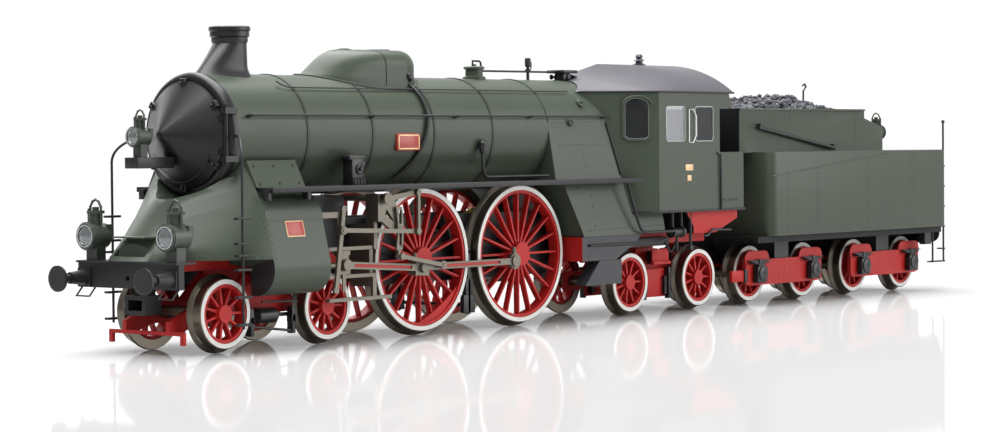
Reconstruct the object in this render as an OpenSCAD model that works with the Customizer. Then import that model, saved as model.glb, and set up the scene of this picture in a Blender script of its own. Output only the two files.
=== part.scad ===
// Express tender locomotive, a 1:87 model, in millimetres.
// The front points to -X, +Z is up, and z = 0 is the plane that the wheel flanges stand on.

/* [Wheels] */
// Distance between the backs of a wheel pair
back_to_back = 14.4; // [14.2:0.1:14.6]
// Width of a tyre with its flange
tyre_w = 2.6; // [2.4:0.1:2.7]
// Depth of a tyre between its tread and the wheel centre
tyre_t = 0.95; // [0.8:0.05:1.1]
// Height of a flange above the tread
flange_h = 0.7; // [0.6:0.05:0.8]
// Thickness of a flange
flange_w = 0.7; // [0.6:0.05:0.8]
// Tread diameter of the driving wheels
driver_d = 25.3; // [24.9:0.1:25.5]
// Tread diameter of the carrying wheels
carrier_d = 11.6; // [11:0.1:11.8]
// Diameter of the driving axles
driver_axle_d = 3; // [2.6:0.1:3.4]
// Diameter of the carrying axles
carrier_axle_d = 2; // [1.7:0.1:2.2]
// Spokes of a driving wheel
driver_spokes = 20; // [16:1:22]
// Spokes of a carrying wheel
carrier_spokes = 11; // [9:1:12]
// Throw of the crank pins
crank_r = 3.68; // [3.4:0.02:3.8]
// Diameter of the crank pins
crank_pin_d = 1.5; // [1.2:0.1:1.7]

/* [Axle positions] */
// Front buffer face to the first lead axle
front_overhang = 18.4; // [18:0.1:19]
// Lead bogie wheelbase
lead_wheelbase = 24.2; // [23.8:0.1:24.6]
// Second lead axle to the first driving axle
lead_to_driver = 24.5; // [24.2:0.1:25]
// Gap between the flanges of the driving wheels
driver_gap = 0.9; // [0.7:0.1:1.3]
// Second driving axle to the first trailing axle
driver_to_trailing = 33.8; // [33.5:0.1:34.4]
// Trailing bogie wheelbase
trailing_wheelbase = 23; // [22.6:0.1:23.4]
// Second trailing axle to the first tender axle
engine_to_tender = 18.1; // [17.9:0.1:19]
// Wheelbase of each tender bogie
tender_wheelbase = 20.2; // [19.8:0.1:20.6]
// Distance between the inner axles of the tender bogies
tender_bogie_gap = 20.2; // [19.8:0.1:21]
// Last tender axle to the rear buffer face
rear_overhang = 13.3; // [13:0.1:14]

/* [Boiler] */
// Height of the boiler axis
boiler_z = 35.4; // [35.2:0.1:35.8]
// Diameter of the boiler over its cladding
boiler_d = 20.4; // [20:0.1:20.6]
// Height of a boiler band over the cladding
band_h = 0.13; // [0.1:0.01:0.2]
// Width of a boiler band
band_w = 0.5; // [0.4:0.05:0.8]
// Spacing of the boiler bands
band_pitch = 16.2; // [15.6:0.1:16.4]
// Height of the chimney rim
chimney_top = 53.5; // [52.5:0.1:54]
// Height of the dome
dome_top = 50.2; // [49.8:0.1:50.6]
// Length of the smokebox door cone
door_cone = 5.9; // [5.4:0.1:6.2]

/* [Cab and running boards] */
// Half width of the cab
cab_half_w = 16.4; // [16.2:0.1:16.5]
// Thickness of the cab sheets
cab_wall = 0.4; // [0.3:0.05:0.6]
// Height of the cab eaves
eave_z = 43.3; // [43:0.1:43.6]
// Height of the cab roof ridge
ridge_z = 49; // [48.6:0.1:49.6]
// Height of the running boards
board_z = 26.8; // [26.7:0.05:27]
// Thickness of the running boards
board_t = 0.5; // [0.4:0.05:0.6]
// Height of the cab floor
floor_z = 20.4; // [20.2:0.05:20.6]

/* [Tender] */
// Half width of the tank
tank_half_w = 17; // [16.6:0.1:17.4]
// Height of the tank top
tank_top = 31.35; // [30.8:0.05:32]
// Half width of the coal bunker
bunker_half_w = 12; // [11.6:0.1:12.4]
// Height of the bunker rim
bunker_top = 40.3; // [39.6:0.1:40.6]

/* [Fits] */
// Radial clearance of a running fit
run_gap = 0.06; // [0.04:0.01:0.09]
// Clearance between pressed pieces
press_gap = 0.02; // [0.015:0.005:0.03]
// Clearance of a curved seat
seat_gap = 0.03; // [0.02:0.01:0.05]
// Side clearance between the rods
rod_gap = 0.2; // [0.15:0.05:0.25]

/* [Hidden] */
$fn = 48;

green = [0.33, 0.37, 0.31];
black = [0.09, 0.09, 0.1];
dark_grey = [0.22, 0.22, 0.24];
red = [0.75, 0.12, 0.1];
steel = [0.62, 0.6, 0.55];
tyre_grey = [0.55, 0.53, 0.5];
glass = [0.8, 0.85, 0.85, 0.4];

// Stations along the engine, from the axle spacings
driver_wheelbase = driver_d + 2 * flange_h + driver_gap;
overall_l = front_overhang + lead_wheelbase + lead_to_driver + driver_wheelbase
  + driver_to_trailing + trailing_wheelbase + engine_to_tender
  + 2 * tender_wheelbase + tender_bogie_gap + rear_overhang;
buffer_face_x = -overall_l / 2;
lead_1_x = buffer_face_x + front_overhang;
lead_2_x = lead_1_x + lead_wheelbase;
driver_1_x = lead_2_x + lead_to_driver;
driver_2_x = driver_1_x + driver_wheelbase;
trail_1_x = driver_2_x + driver_to_trailing;
trail_2_x = trail_1_x + trailing_wheelbase;
tender_x = [
  trail_2_x + engine_to_tender,
  trail_2_x + engine_to_tender + tender_wheelbase,
  trail_2_x + engine_to_tender + tender_wheelbase + tender_bogie_gap,
  trail_2_x + engine_to_tender + 2 * tender_wheelbase + tender_bogie_gap
];
rear_face_x = overall_l / 2;
lead_pivot_x = (lead_1_x + lead_2_x) / 2;
trail_pivot_x = (trail_1_x + trail_2_x) / 2;
tender_pivot_x = [(tender_x[0] + tender_x[1]) / 2, (tender_x[2] + tender_x[3]) / 2];

// Heights and widths that the wheels set
driver_z = driver_d / 2 + flange_h;
carrier_z = carrier_d / 2 + flange_h;
carrier_top = carrier_z + carrier_d / 2 + flange_h;
back_y = back_to_back / 2;
face_y = back_y + tyre_w;
boiler_r = boiler_d / 2;

// Frame plates and the room above the bogie wheels
frame_y = 5.5;
frame_t = 0.8;
frame_out = frame_y + frame_t;
bogie_room = 0.5;
frame_low = carrier_top + bogie_room;
front_deck_z = 15.3;
mid_frame_top = 21;
mid_frame_low = 9.2;
rear_deck_z = 15.7;
pivot_r = 1.6;
pivot_low = 9;

// Buffer beam and buffers
beam_x = buffer_face_x + 6.2;
beam_t = 1.2;
beam_half_w = 11.7;
beam_low = 10.9;
beam_top = 14.9;
buffer_y = 10;
buffer_z = 12.5;
buffer_disc_r = 2.13;
buffer_disc_t = 0.5;
buffer_stem_r = 0.6;
buffer_stem_l = 5.2;
buffer_sleeve_l = 3.4;
buffer_sleeve_r = 1.3;
buffer_sleeve_tip_r = 0.95;
hook_hole_r = 0.42;
rear_beam_x = rear_face_x - 6.2;

// Boiler stations
smokebox_x = lead_1_x + 3.6;
ring_l = -0.65;
firebox_x = driver_2_x + driver_d / 2 - 4.75;
first_band_x = firebox_x - 4 * band_pitch;
chimney_x = smokebox_x + 7.75;
dome_rear_x = smokebox_x + 45;
dome_half_w = 6.2;
backhead_x = firebox_x + 32;
firebox_wall = 0.8;
firebox_low_z = 16;
firebox_half_low = 13.8;

// Smokebox door
door_x = smokebox_x - 2.4;
door_r = 8.85;
hinge_x = door_x - 0.45;
hinge_y = 9.5;
hinge_r = 0.4;

// Cab stations, with a front that is V-shaped in plan
cab_slope = 1.353;
cab_nose_x = firebox_x + 4.3;
cab_corner_x = cab_nose_x + cab_slope * cab_half_w;
cab_rear_x = cab_corner_x + 20.5;
cab_low_z = floor_z;
platform_x = cab_corner_x + 29.5;
door_panel_top = 31.5;

// Skirt and cylinder casings
casing_x = smokebox_x + 0.85;
casing_l = 13.3;
casing_rear_x = casing_x + casing_l;
casing_in = 11.2;
casing_top = 25.6;
skirt_low = front_deck_z;

// Planes of the motion, measured outwards from the centre line
rod_t = 0.8;
coupling_y = face_y + 0.7;
slide_y = coupling_y + 0.5;
slide_t = 0.9;
connecting_y = coupling_y + rod_t + 2 * rod_gap + 0.4;
connecting_t = 0.7;
crank_y = connecting_y + connecting_t + rod_gap;
link_t = 0.45;
radius_y = crank_y + link_t + rod_gap / 2;
radius_t = 0.35;
eccentric_y = radius_y + radius_t + rod_gap / 2;
eccentric_t = 0.4;
crank_end_y = eccentric_y + eccentric_t + rod_gap / 2;

// Motion at rest: crank angles from +X towards +Z, left and right a quarter turn apart
left_crank = 199;
right_crank = left_crank - 90;
con_rod_l = 19.2;
return_r = 0.96;
return_lead = 96;
link_pivot = [driver_1_x - 9.9, 19.2];
link_foot = [link_pivot[0] - 0.5, 14.4];
lever_pivot = [driver_1_x - 24.7, 19.3];
lever_foot_drop = 10;
lever_top_rise = 3.6;
radius_l = 18.6;
radius_drop = 0.7;
motion_plate_x = driver_1_x - 15.1;
reverse_shaft = [driver_1_x - 13.5, 24.4];
reverse_shaft_r = 0.5;
lift_arm_l = 7.6;
lift_arm_rise = 0.9;

// Tender stations
tank_x = tender_x[0] - 2;
tank_end_x = rear_beam_x + 0.3;
tank_low = 14.25;
tender_deck = 13.7;
sill_low = 12.95;
bunker_x = tank_x - 4.6;
bunker_end_x = bunker_x + 48.3;
bunker_wall = 0.5;
drawbar_x = trail_2_x + 4.4;
drawbar_r = 0.9;
drawbar_z = 11.2;
drawbar_t = 0.8;

function crank_x(a) = crank_r * cos(a);
function crank_z(a) = crank_r * sin(a);
function crosshead_x(a) = driver_1_x + crank_x(a) - sqrt(con_rod_l * con_rod_l - pow(crank_z(a), 2));
function return_pin(a) = [driver_1_x + return_r * cos(a + return_lead),
  driver_z + return_r * sin(a + return_lead)];

// Helpers: mirrored pairs, and prisms and rods along the axes
module both() {
  children();
  mirror([0, 1, 0]) children();
}
module left() {
  mirror([0, 1, 0]) children();
}
// A prism of an XZ outline, from y to y + t
module side(y, t) {
  translate([0, y + t, 0]) rotate([90, 0, 0]) linear_extrude(t) children();
}
// A prism of a YZ outline, from x to x + l
module across(x, l) {
  translate([x, 0, 0]) rotate([90, 0, 90]) linear_extrude(l) children();
}
module box(x, y, z) {
  translate([x[0], y[0], z[0]]) cube([x[1] - x[0], y[1] - y[0], z[1] - z[0]]);
}
module x_rod(x, y, z, r) {
  translate([x[0], y, z]) rotate([0, 90, 0]) cylinder(r = r, h = x[1] - x[0]);
}
module y_rod(x, y, z, r) {
  translate([x, y[1], z]) rotate([90, 0, 0]) cylinder(r = r, h = y[1] - y[0]);
}
module z_rod(x, y, z, r) {
  translate([x, y, z[0]]) cylinder(r = r, h = z[1] - z[0]);
}
// A straight wire between two points
module wire(a, b, r) {
  d = b - a;
  l = norm(d);
  translate(a) rotate([0, acos(d[2] / l), atan2(d[1], d[0])]) cylinder(r = r, h = l, $fn = 16);
}
// Wire along a chain of points: every second length is thinner, and the lengths cross at the bends
module wire_path(points, r) {
  for (i = [0:len(points) - 2]) {
    d = (points[i + 1] - points[i]) / norm(points[i + 1] - points[i]);
    wire(points[i] - 0.6 * r * d, points[i + 1] + 0.6 * r * d, i % 2 == 0 ? r : 0.9 * r);
  }
}
// The boiler cylinder, grown by a gap, to cut seats with
module boiler_form(grow) {
  translate([0, 0, boiler_z]) rotate([0, 90, 0])
    cylinder(r = boiler_r + grow, h = 2 * overall_l, center = true, $fn = 96);
}
// A flat link between two eyes in an XZ outline
module link_outline(a, b, eye_a, eye_b, w) {
  d = b - a;
  translate(a) circle(r = eye_a);
  translate(b) circle(r = eye_b);
  translate(a) rotate(atan2(d[1], d[0])) translate([0, -w / 2]) square([norm(d), w]);
}

// Wheels
tread_cone = 0.06;
rim_t = 0.55;
rim_set = 0.35;
spoke_set = 0.9;
spoke_t = 1.1;
axle_end = 0.15;

module tyre(d) {
  r = d / 2;
  side_bevel = 0.15;
  root = 0.2;
  rotate_extrude($fn = 96)
    polygon([
      [r - tyre_t, 0], [r + flange_h - side_bevel, 0], [r + flange_h, 0.3 * flange_w],
      [r + flange_h, 0.5 * flange_w], [r + root, flange_w], [r, flange_w + root],
      [r - tread_cone, tyre_w - side_bevel], [r - tread_cone - side_bevel, tyre_w],
      [r - tyre_t, tyre_w]
    ]);
}
module wheel_centre(d, spokes, hub_r, hub_l, bore_d, spoke_w) {
  rim_out = d / 2 - tyre_t - press_gap;
  rim_in = rim_out - rim_t;
  difference() {
    union() {
      translate([0, 0, rim_set]) difference() {
        cylinder(r = rim_out, h = tyre_w - rim_set - axle_end, $fn = 96);
        translate([0, 0, -1]) cylinder(r = rim_in, h = tyre_w + 2, $fn = 96);
      }
      for (i = [0:spokes - 1])
        rotate(i * 360 / spokes)
          translate([0, 0, spoke_set])
            linear_extrude(spoke_t)
              polygon([
                [hub_r - 0.3, -spoke_w / 2], [rim_in + 0.2, -spoke_w / 3],
                [rim_in + 0.2, spoke_w / 3], [hub_r - 0.3, spoke_w / 2]
              ]);
      cylinder(r = hub_r, h = hub_l);
      children();
    }
    translate([0, 0, -1]) cylinder(r = bore_d / 2 + press_gap, h = hub_l - axle_end + 1);
  }
}
// Stands a wheel, modelled from its back outwards along +Z, on the left of the axle
module on_axle_left() {
  translate([0, -back_y, 0]) rotate([90, 0, 0]) children();
}
module carrier_wheelset(x, stub = 0) {
  hub_r = 1.45;
  cap_r = 0.8;
  translate([x, 0, carrier_z]) {
    both() on_axle_left() {
      color(tyre_grey) tyre(carrier_d);
      color(red) wheel_centre(carrier_d, carrier_spokes, hub_r, tyre_w, carrier_axle_d, 0.45);
    }
    color(steel) y_rod(0, [-(face_y - 2 * axle_end), face_y - 2 * axle_end], 0, carrier_axle_d / 2);
    if (stub > 0)
      color(steel) both() y_rod(0, [face_y + press_gap, stub], 0, cap_r);
  }
}
driver_hub_r = 2.15;
driver_hub_l = tyre_w + 0.3;
crank_boss_r = 1.4;
balance_lead = 101;
module driver_wheel(a, balanced) {
  rim_out = driver_d / 2 - tyre_t - press_gap;
  color(tyre_grey) tyre(driver_d);
  color(red) difference() {
    wheel_centre(driver_d, driver_spokes, driver_hub_r, driver_hub_l, driver_axle_d, 0.46) {
      rotate(a) {
        translate([crank_r, 0, spoke_set]) cylinder(r = crank_boss_r, h = driver_hub_l - spoke_set);
        translate([0, -crank_boss_r, spoke_set])
          cube([crank_r, 2 * crank_boss_r, driver_hub_l - spoke_set]);
      }
      if (balanced)
        rotate(a + balance_lead) translate([0, 0, spoke_set - 0.15]) linear_extrude(spoke_t + 0.3)
          difference() {
            circle(r = rim_out - 0.1, $fn = 96);
            translate([-25.3, 0]) circle(r = rim_out + 23.4, $fn = 96);
          }
    }
    rotate(a) translate([crank_r, 0, spoke_set])
      cylinder(r = crank_pin_d / 2 + press_gap, h = driver_hub_l);
  }
}
// Crank pin with its collar, from the wheel boss outwards to y
module crank_pin(a, y) {
  collar_t = 0.2;
  collar_r = crank_pin_d / 2 + 0.35;
  color(steel) rotate(a) translate([crank_r, 0, 0]) {
    translate([0, 0, spoke_set + press_gap])
      cylinder(r = crank_pin_d / 2, h = y - back_y - spoke_set - press_gap);
    translate([0, 0, y - back_y]) cylinder(r = collar_r, h = collar_t);
  }
}
module return_crank(a) {
  tip = return_r * [cos(a + return_lead), sin(a + return_lead)];
  root = crank_r * [cos(a), sin(a)];
  pin_r = 0.35;
  color(steel) {
    translate([0, 0, crank_y - back_y]) linear_extrude(link_t) link_outline(root, tip, 0.85, 0.6, 0.9);
    translate([tip[0], tip[1], crank_y - back_y]) cylinder(r = pin_r, h = crank_end_y - crank_y);
    rotate(a) translate([crank_r, 0, spoke_set + press_gap])
      cylinder(r = crank_pin_d / 2, h = crank_y - back_y - spoke_set - press_gap + link_t);
  }
}
gear_r = 5.6;
gear_w = 1.8;
gear_teeth = 20;
worm_r = 1.4;
worm_z = driver_z + gear_r + worm_r + 0.12;
module drive_gear() {
  tooth_h = 0.5;
  tooth_w = 0.7;
  color([0.75, 0.6, 0.25]) translate([0, gear_w / 2, 0]) rotate([90, 0, 0]) linear_extrude(gear_w)
    difference() {
      union() {
        circle(r = gear_r - tooth_h);
        for (i = [0:gear_teeth - 1])
          rotate(i * 360 / gear_teeth)
            translate([gear_r - tooth_h - 0.2, -tooth_w / 2]) square([tooth_h + 0.2, tooth_w]);
      }
      circle(r = driver_axle_d / 2 + press_gap);
    }
}
module driver_axle() {
  color(steel) y_rod(0, [-(face_y - axle_end), face_y - axle_end], 0, driver_axle_d / 2);
}
module driver_wheelset_front() {
  translate([driver_1_x, 0, driver_z]) {
    driver_axle();
    on_axle_left() {
      driver_wheel(left_crank, true);
      return_crank(left_crank);
    }
    mirror([0, 1, 0]) on_axle_left() {
      driver_wheel(right_crank, true);
      return_crank(right_crank);
    }
  }
}
module driver_wheelset_rear() {
  pin_end = coupling_y + rod_t + rod_gap / 2;
  translate([driver_2_x, 0, driver_z]) {
    driver_axle();
    drive_gear();
    on_axle_left() {
      driver_wheel(left_crank, false);
      crank_pin(left_crank, pin_end);
    }
    mirror([0, 1, 0]) on_axle_left() {
      driver_wheel(right_crank, false);
      crank_pin(right_crank, pin_end);
    }
  }
}
module lead_wheelset_front() { carrier_wheelset(lead_1_x); }
module lead_wheelset_rear() { carrier_wheelset(lead_2_x); }
module trailing_wheelset_front() { carrier_wheelset(trail_1_x); }
module trailing_wheelset_rear() { carrier_wheelset(trail_2_x); }
bogie_plate_y = 11;
bogie_plate_t = 0.8;
journal_end = bogie_plate_y + bogie_plate_t + 0.6;
module tender_wheelset_1() { carrier_wheelset(tender_x[0], journal_end); }
module tender_wheelset_2() { carrier_wheelset(tender_x[1], journal_end); }
module tender_wheelset_3() { carrier_wheelset(tender_x[2], journal_end); }
module tender_wheelset_4() { carrier_wheelset(tender_x[3], journal_end); }

// Rods of the right-hand side, mirrored for the left
flute_d = 0.25;
module coupling_rod(a) {
  p = [driver_1_x + crank_x(a), driver_z + crank_z(a)];
  q = [driver_2_x + crank_x(a), driver_z + crank_z(a)];
  eye_r = 1.45;
  bar_h = 1.15;
  flute_h = 0.55;
  flute_end = 4.4;
  cup_r = 0.4;
  cup_h = 1.1;
  color(steel) difference() {
    union() {
      side(coupling_y, rod_t) link_outline(p, q, eye_r, eye_r, bar_h);
      for (e = [p, q])
        z_rod(e[0], coupling_y + rod_t / 2, [e[1] + eye_r - 0.2, e[1] + eye_r + cup_h], cup_r);
    }
    for (e = [p, q])
      y_rod(e[0], [coupling_y - 1, coupling_y + rod_t + 1], e[1], crank_pin_d / 2 + run_gap);
    box([p[0] + flute_end, q[0] - flute_end], [coupling_y + rod_t - flute_d, coupling_y + rod_t + 1],
      [p[1] - flute_h / 2, p[1] + flute_h / 2]);
  }
}
module coupling_rod_left() { left() coupling_rod(left_crank); }
module coupling_rod_right() { coupling_rod(right_crank); }

module connecting_rod(a) {
  p = [driver_1_x + crank_x(a), driver_z + crank_z(a)];
  q = [crosshead_x(a), driver_z];
  d = q - p;
  small_r = 1;
  bar_h = 1.2;
  flute_h = 0.55;
  big_end_l = 3.6;
  big_end_h = 2.7;
  flute_from = 2.8;
  color(steel) difference() {
    union() {
      side(connecting_y, connecting_t) link_outline(p, q, 1.3, small_r, bar_h);
      side(connecting_y, connecting_t) translate(p) rotate(atan2(d[1], d[0]))
        translate([-big_end_l / 2, -big_end_h / 2]) square([big_end_l, big_end_h]);
    }
    y_rod(p[0], [connecting_y - 1, connecting_y + connecting_t + 1], p[1], crank_pin_d / 2 + run_gap);
    side(connecting_y + connecting_t - flute_d, 1) translate(p) rotate(atan2(d[1], d[0]))
      translate([flute_from, -flute_h / 2]) square([con_rod_l - flute_from - 1.6, flute_h]);
  }
}
module connecting_rod_left() { left() connecting_rod(left_crank); }
module connecting_rod_right() { connecting_rod(right_crank); }

module eccentric_rod(a) {
  p = return_pin(a);
  eye_r = 0.75;
  color(steel) difference() {
    side(eccentric_y, eccentric_t) link_outline(p, link_foot, eye_r, 0.6, 0.7);
    y_rod(p[0], [eccentric_y - 1, eccentric_y + eccentric_t + 1], p[1], 0.35 + run_gap);
  }
}
module eccentric_rod_left() { left() eccentric_rod(left_crank); }
module eccentric_rod_right() { eccentric_rod(right_crank); }

// Slide bars lie above and below the crosshead
slide_low = driver_z - 1.95;
slide_high = driver_z + 2.75;
slide_h = 0.6;
slide_gap = 0.08;
slide_x = [casing_rear_x, motion_plate_x];
bar_t = 0.6;
arm_t = slide_t - bar_t - 0.05;
piston_rod_r = 0.45;
piston_rod_l = driver_1_x - crank_r - con_rod_l - casing_x - 1.5;
module crosshead(a) {
  x = crosshead_x(a);
  body_l = 2.2;
  slipper_l = 3;
  slipper_h = 0.7;
  arm_w = 0.8;
  arm_z = lever_pivot[1] - lever_foot_drop;
  arm_y = slide_y + slide_t - arm_t;
  low = slide_low + slide_h / 2 + slide_gap;
  high = slide_high - slide_h / 2 - slide_gap;
  color(steel) {
    box([x - body_l / 2, x + body_l / 2], [slide_y, slide_y + slide_t], [low, high]);
    for (z = [low, high - slipper_h])
      box([x - slipper_l / 2, x + slipper_l / 2], [slide_y, slide_y + slide_t], [z, z + slipper_h]);
    x_rod([x - piston_rod_l, x], slide_y + slide_t / 2, driver_z, piston_rod_r);
    y_rod(x, [slide_y + slide_t - 0.1, connecting_y - rod_gap / 2], driver_z, 0.7);
    box([x - arm_w / 2, x + arm_w / 2], [arm_y, arm_y + arm_t], [arm_z - 0.4, high]);
  }
}
module crosshead_left() { left() crosshead(left_crank); }
module crosshead_right() { crosshead(right_crank); }

// The lever hangs from its pin, with its foot near the crosshead
function lever_foot_x(a) = (crosshead_x(a) - crosshead_x(left_crank)) - 1.5;
module combination_lever(a) {
  lean = atan2(lever_foot_x(a), lever_foot_drop);
  foot = lever_pivot + [lever_foot_drop * tan(lean), -lever_foot_drop];
  head = lever_pivot + lever_top_rise * [-sin(lean), cos(lean)];
  color(steel) difference() {
    union() {
      side(crank_y, link_t) link_outline(lever_pivot, foot, 0.75, 0.6, 0.85);
      side(crank_y, link_t) link_outline(lever_pivot, head, 0.75, 0.6, 0.85);
    }
    y_rod(lever_pivot[0], [crank_y - 1, crank_y + link_t + 1], lever_pivot[1], 0.35 + run_gap);
  }
}
module combination_lever_left() { left() combination_lever(left_crank); }
module combination_lever_right() { combination_lever(right_crank); }

module expansion_link() {
  half = 3.7;
  w = 1.5;
  slot_w = 0.65;
  boss_r = 0.7;
  bow_r = 18;
  bow = link_pivot - [bow_r, 0];
  color(steel) side(crank_y, link_t) difference() {
    union() {
      difference() {
        intersection() {
          difference() {
            translate(bow) circle(r = bow_r + w / 2, $fn = 96);
            translate(bow) circle(r = bow_r - w / 2, $fn = 96);
          }
          translate(link_pivot - [2, half]) square([4, 2 * half]);
        }
        for (z = [boss_r + 0.1, -half + 0.5])
          translate(link_pivot + [-slot_w / 2 - 0.1, z]) square([slot_w, half - boss_r - 0.6]);
      }
      translate(link_pivot) circle(r = boss_r);
      link_outline(link_foot, link_pivot - [0.25, half - 0.5], 0.6, 0.3, 0.6);
    }
    translate(link_pivot) circle(r = 0.35 + run_gap);
  }
}
module expansion_link_left() { left() expansion_link(); }
module expansion_link_right() { expansion_link(); }

radius_end = lever_pivot + [radius_l, -radius_drop];
lift_l = reverse_shaft[1] + lift_arm_rise - radius_end[1];
module radius_rod() {
  color(steel) {
    difference() {
      side(radius_y, radius_t) link_outline(lever_pivot, radius_end, 0.7, 0.6, 0.75);
      y_rod(lever_pivot[0], [radius_y - 1, radius_y + radius_t + 1], lever_pivot[1], 0.35 + run_gap);
    }
    y_rod(radius_end[0], [radius_y, eccentric_y + press_gap], radius_end[1], 0.35);
    side(eccentric_y, eccentric_t)
      link_outline(radius_end, radius_end + [0, lift_l], 0.6, 0.55, 0.6);
  }
}
module radius_rod_left() { left() radius_rod(); }
module radius_rod_right() { radius_rod(); }

lift_arm_y = eccentric_y - rod_gap / 2 - 0.45;
module reversing_shaft() {
  end = [radius_end[0], reverse_shaft[1] + lift_arm_rise];
  color(steel) {
    y_rod(reverse_shaft[0], [-(lift_arm_y + 0.45), lift_arm_y + 0.45], reverse_shaft[1], reverse_shaft_r);
    both() side(lift_arm_y, 0.45) link_outline(reverse_shaft, end, 1, 0.55, 0.9);
  }
}

// Motion plates, slide bars, link brackets and the pins that the valve gear hangs on
module motion_brackets() {
  plate_t = 0.9;
  plate_low = 9.4;
  plate_top = 25.2;
  bracket_y = connecting_y + 0.1;
  bracket_t = crank_y - bracket_y - rod_gap / 2;
  pin_r = 0.35;
  pin_end = crank_y + link_t + 0.02;
  bar_y = [slide_y, slide_y + bar_t];
  step_z = 7.6;
  color(steel) both() {
    difference() {
      union() {
        box([motion_plate_x, motion_plate_x + plate_t], [frame_out, slide_y - rod_gap],
          [plate_low, mid_frame_top - 1]);
        box([motion_plate_x, motion_plate_x + plate_t], [frame_out, slide_y + bar_t],
          [plate_low, slide_low + slide_h / 2]);
        box([motion_plate_x, motion_plate_x + plate_t], [slide_y - 1, slide_y + slide_t],
          [slide_high - slide_h / 2, plate_top]);
        box([motion_plate_x, motion_plate_x + plate_t], [slide_y, bracket_y + bracket_t],
          [mid_frame_top - 0.5, plate_top]);
      }
      y_rod(reverse_shaft[0], [0, 20], reverse_shaft[1], reverse_shaft_r + run_gap);
    }
    for (z = [slide_low, slide_high])
      box([slide_x[0], slide_x[1] + 0.1], bar_y, [z - slide_h / 2, z + slide_h / 2]);
    difference() {
      side(bracket_y, bracket_t) polygon([
        [motion_plate_x + plate_t, mid_frame_top - 0.5], [link_pivot[0] - 1, link_pivot[1] - 0.7],
        [link_pivot[0] + 0.7, link_pivot[1] - 0.7], [link_pivot[0] + 0.7, link_pivot[1] + 0.8],
        [motion_plate_x + 4, plate_top], [motion_plate_x + plate_t, plate_top]
      ]);
      side(bracket_y - 1, bracket_t + 2) polygon([
        [motion_plate_x + 1.8, 21.6], [link_pivot[0] - 0.9, 20.2], [motion_plate_x + 2.2, 22.6]
      ]);
      y_rod(reverse_shaft[0], [0, 20], reverse_shaft[1], reverse_shaft_r + run_gap);
    }
    y_rod(link_pivot[0], [bracket_y + 0.1, pin_end], link_pivot[1], pin_r);
    // Valve spindle guide, which also carries the lever and radius rod pin
    box([casing_rear_x, lever_pivot[0] + 1], [bracket_y, bracket_y + bracket_t], [21.4, 22.4]);
    box([lever_pivot[0] - 0.6, lever_pivot[0] + 0.6], [bracket_y, bracket_y + bracket_t],
      [lever_pivot[1] - 0.6, 21.5]);
    y_rod(lever_pivot[0], [bracket_y + 0.1, radius_y + radius_t + 0.1], lever_pivot[1], pin_r);
    // Foot step under the slide bars
    box([motion_plate_x, motion_plate_x + plate_t], [slide_y, slide_y + bar_t], [step_z, plate_low + 0.1]);
    box([casing_rear_x + 4.5, motion_plate_x + 4.4], [slide_y, slide_y + slide_t + 0.1],
      [step_z - 0.4, step_z + 0.2]);
  }
}

// Frame with its stretchers, pivot pins and cab outriggers
module main_frame() {
  step_x = lead_2_x + carrier_d / 2 + flange_h + 0.8;
  rise_x = casing_rear_x + 1;
  drop_x = driver_2_x + driver_d / 2 - 1;
  lift_x = trail_1_x - carrier_d / 2 - flange_h - 0.8;
  rear_x = drawbar_x + 2.6;
  outer_y = [14.2, 14.6];
  front_x = beam_x + beam_t;
  color(red) difference() {
    union() {
      both() side(frame_y, frame_t) difference() {
        polygon([
          [front_x, beam_low + 0.3], [front_x + 1.4, beam_low + 0.3], [front_x + 4.5, frame_low],
          [step_x, frame_low], [step_x + 4, mid_frame_low], [drop_x, mid_frame_low],
          [lift_x, frame_low], [rear_x, frame_low], [rear_x, rear_deck_z],
          [drop_x + 2, rear_deck_z], [drop_x - 1.6, mid_frame_top], [rise_x + 2, mid_frame_top],
          [rise_x, front_deck_z], [front_x, front_deck_z]
        ]);
        translate([(driver_1_x + driver_2_x) / 2, 18.3]) circle(r = 1.6);
        for (x = [driver_1_x + 7.5, driver_2_x - 7.5])
          translate([x, 18.3]) circle(r = 1.6);
      }
      box([front_x, front_x + 8], [-frame_y, frame_y], [frame_low, front_deck_z]);
      box([lead_pivot_x - 4, lead_pivot_x + 4], [-frame_y, frame_y], [frame_low, front_deck_z]);
      box([driver_1_x + 7, driver_2_x - 8], [-frame_y, frame_y], [mid_frame_low, mid_frame_top - 3]);
      box([casing_rear_x + 1.6, motion_plate_x - 0.5], [-frame_y, frame_y], [mid_frame_top - 1, 24.8]);
      box([trail_pivot_x - 4, trail_pivot_x + 4], [-frame_y, frame_y], [frame_low, rear_deck_z]);
      box([rear_x - 5.4, rear_x], [-frame_y, frame_y], [frame_low, rear_deck_z]);
      for (x = [lead_pivot_x, trail_pivot_x]) z_rod(x, 0, [pivot_low, frame_low + 0.1], pivot_r);
      z_rod(drawbar_x, 0, [drawbar_z - 0.4, frame_low + 0.1], drawbar_r);
      // Outriggers that carry the cab floor
      box([trail_pivot_x + 3, trail_pivot_x + 6], [-outer_y[1], outer_y[1]],
        [rear_deck_z - 0.1, floor_z - 0.5]);
      box([rear_x - 3, rear_x], [-10, 10], [rear_deck_z - 0.1, floor_z - 0.5]);
      both() side(outer_y[0], outer_y[1] - outer_y[0]) polygon([
        [cab_corner_x + 11.5, floor_z - 0.5], [platform_x - 0.4, floor_z - 0.5],
        [platform_x - 0.4, floor_z - 2.1], [platform_x - 8, rear_deck_z - 0.1],
        [cab_corner_x + 15, rear_deck_z - 0.1]
      ]);
    }
    for (x = [driver_1_x, driver_2_x])
      y_rod(x, [-frame_out - 1, frame_out + 1], driver_z, driver_axle_d / 2 + run_gap);
    z_rod(coupler_pin_x, 0, [frame_low - 1, front_deck_z - 0.6], coupler_pin_r + run_gap);
    box([front_x - 1, front_lamp_x + 2.05], [-20, 20], [beam_top - 0.02, 20]);
  }
}

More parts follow.
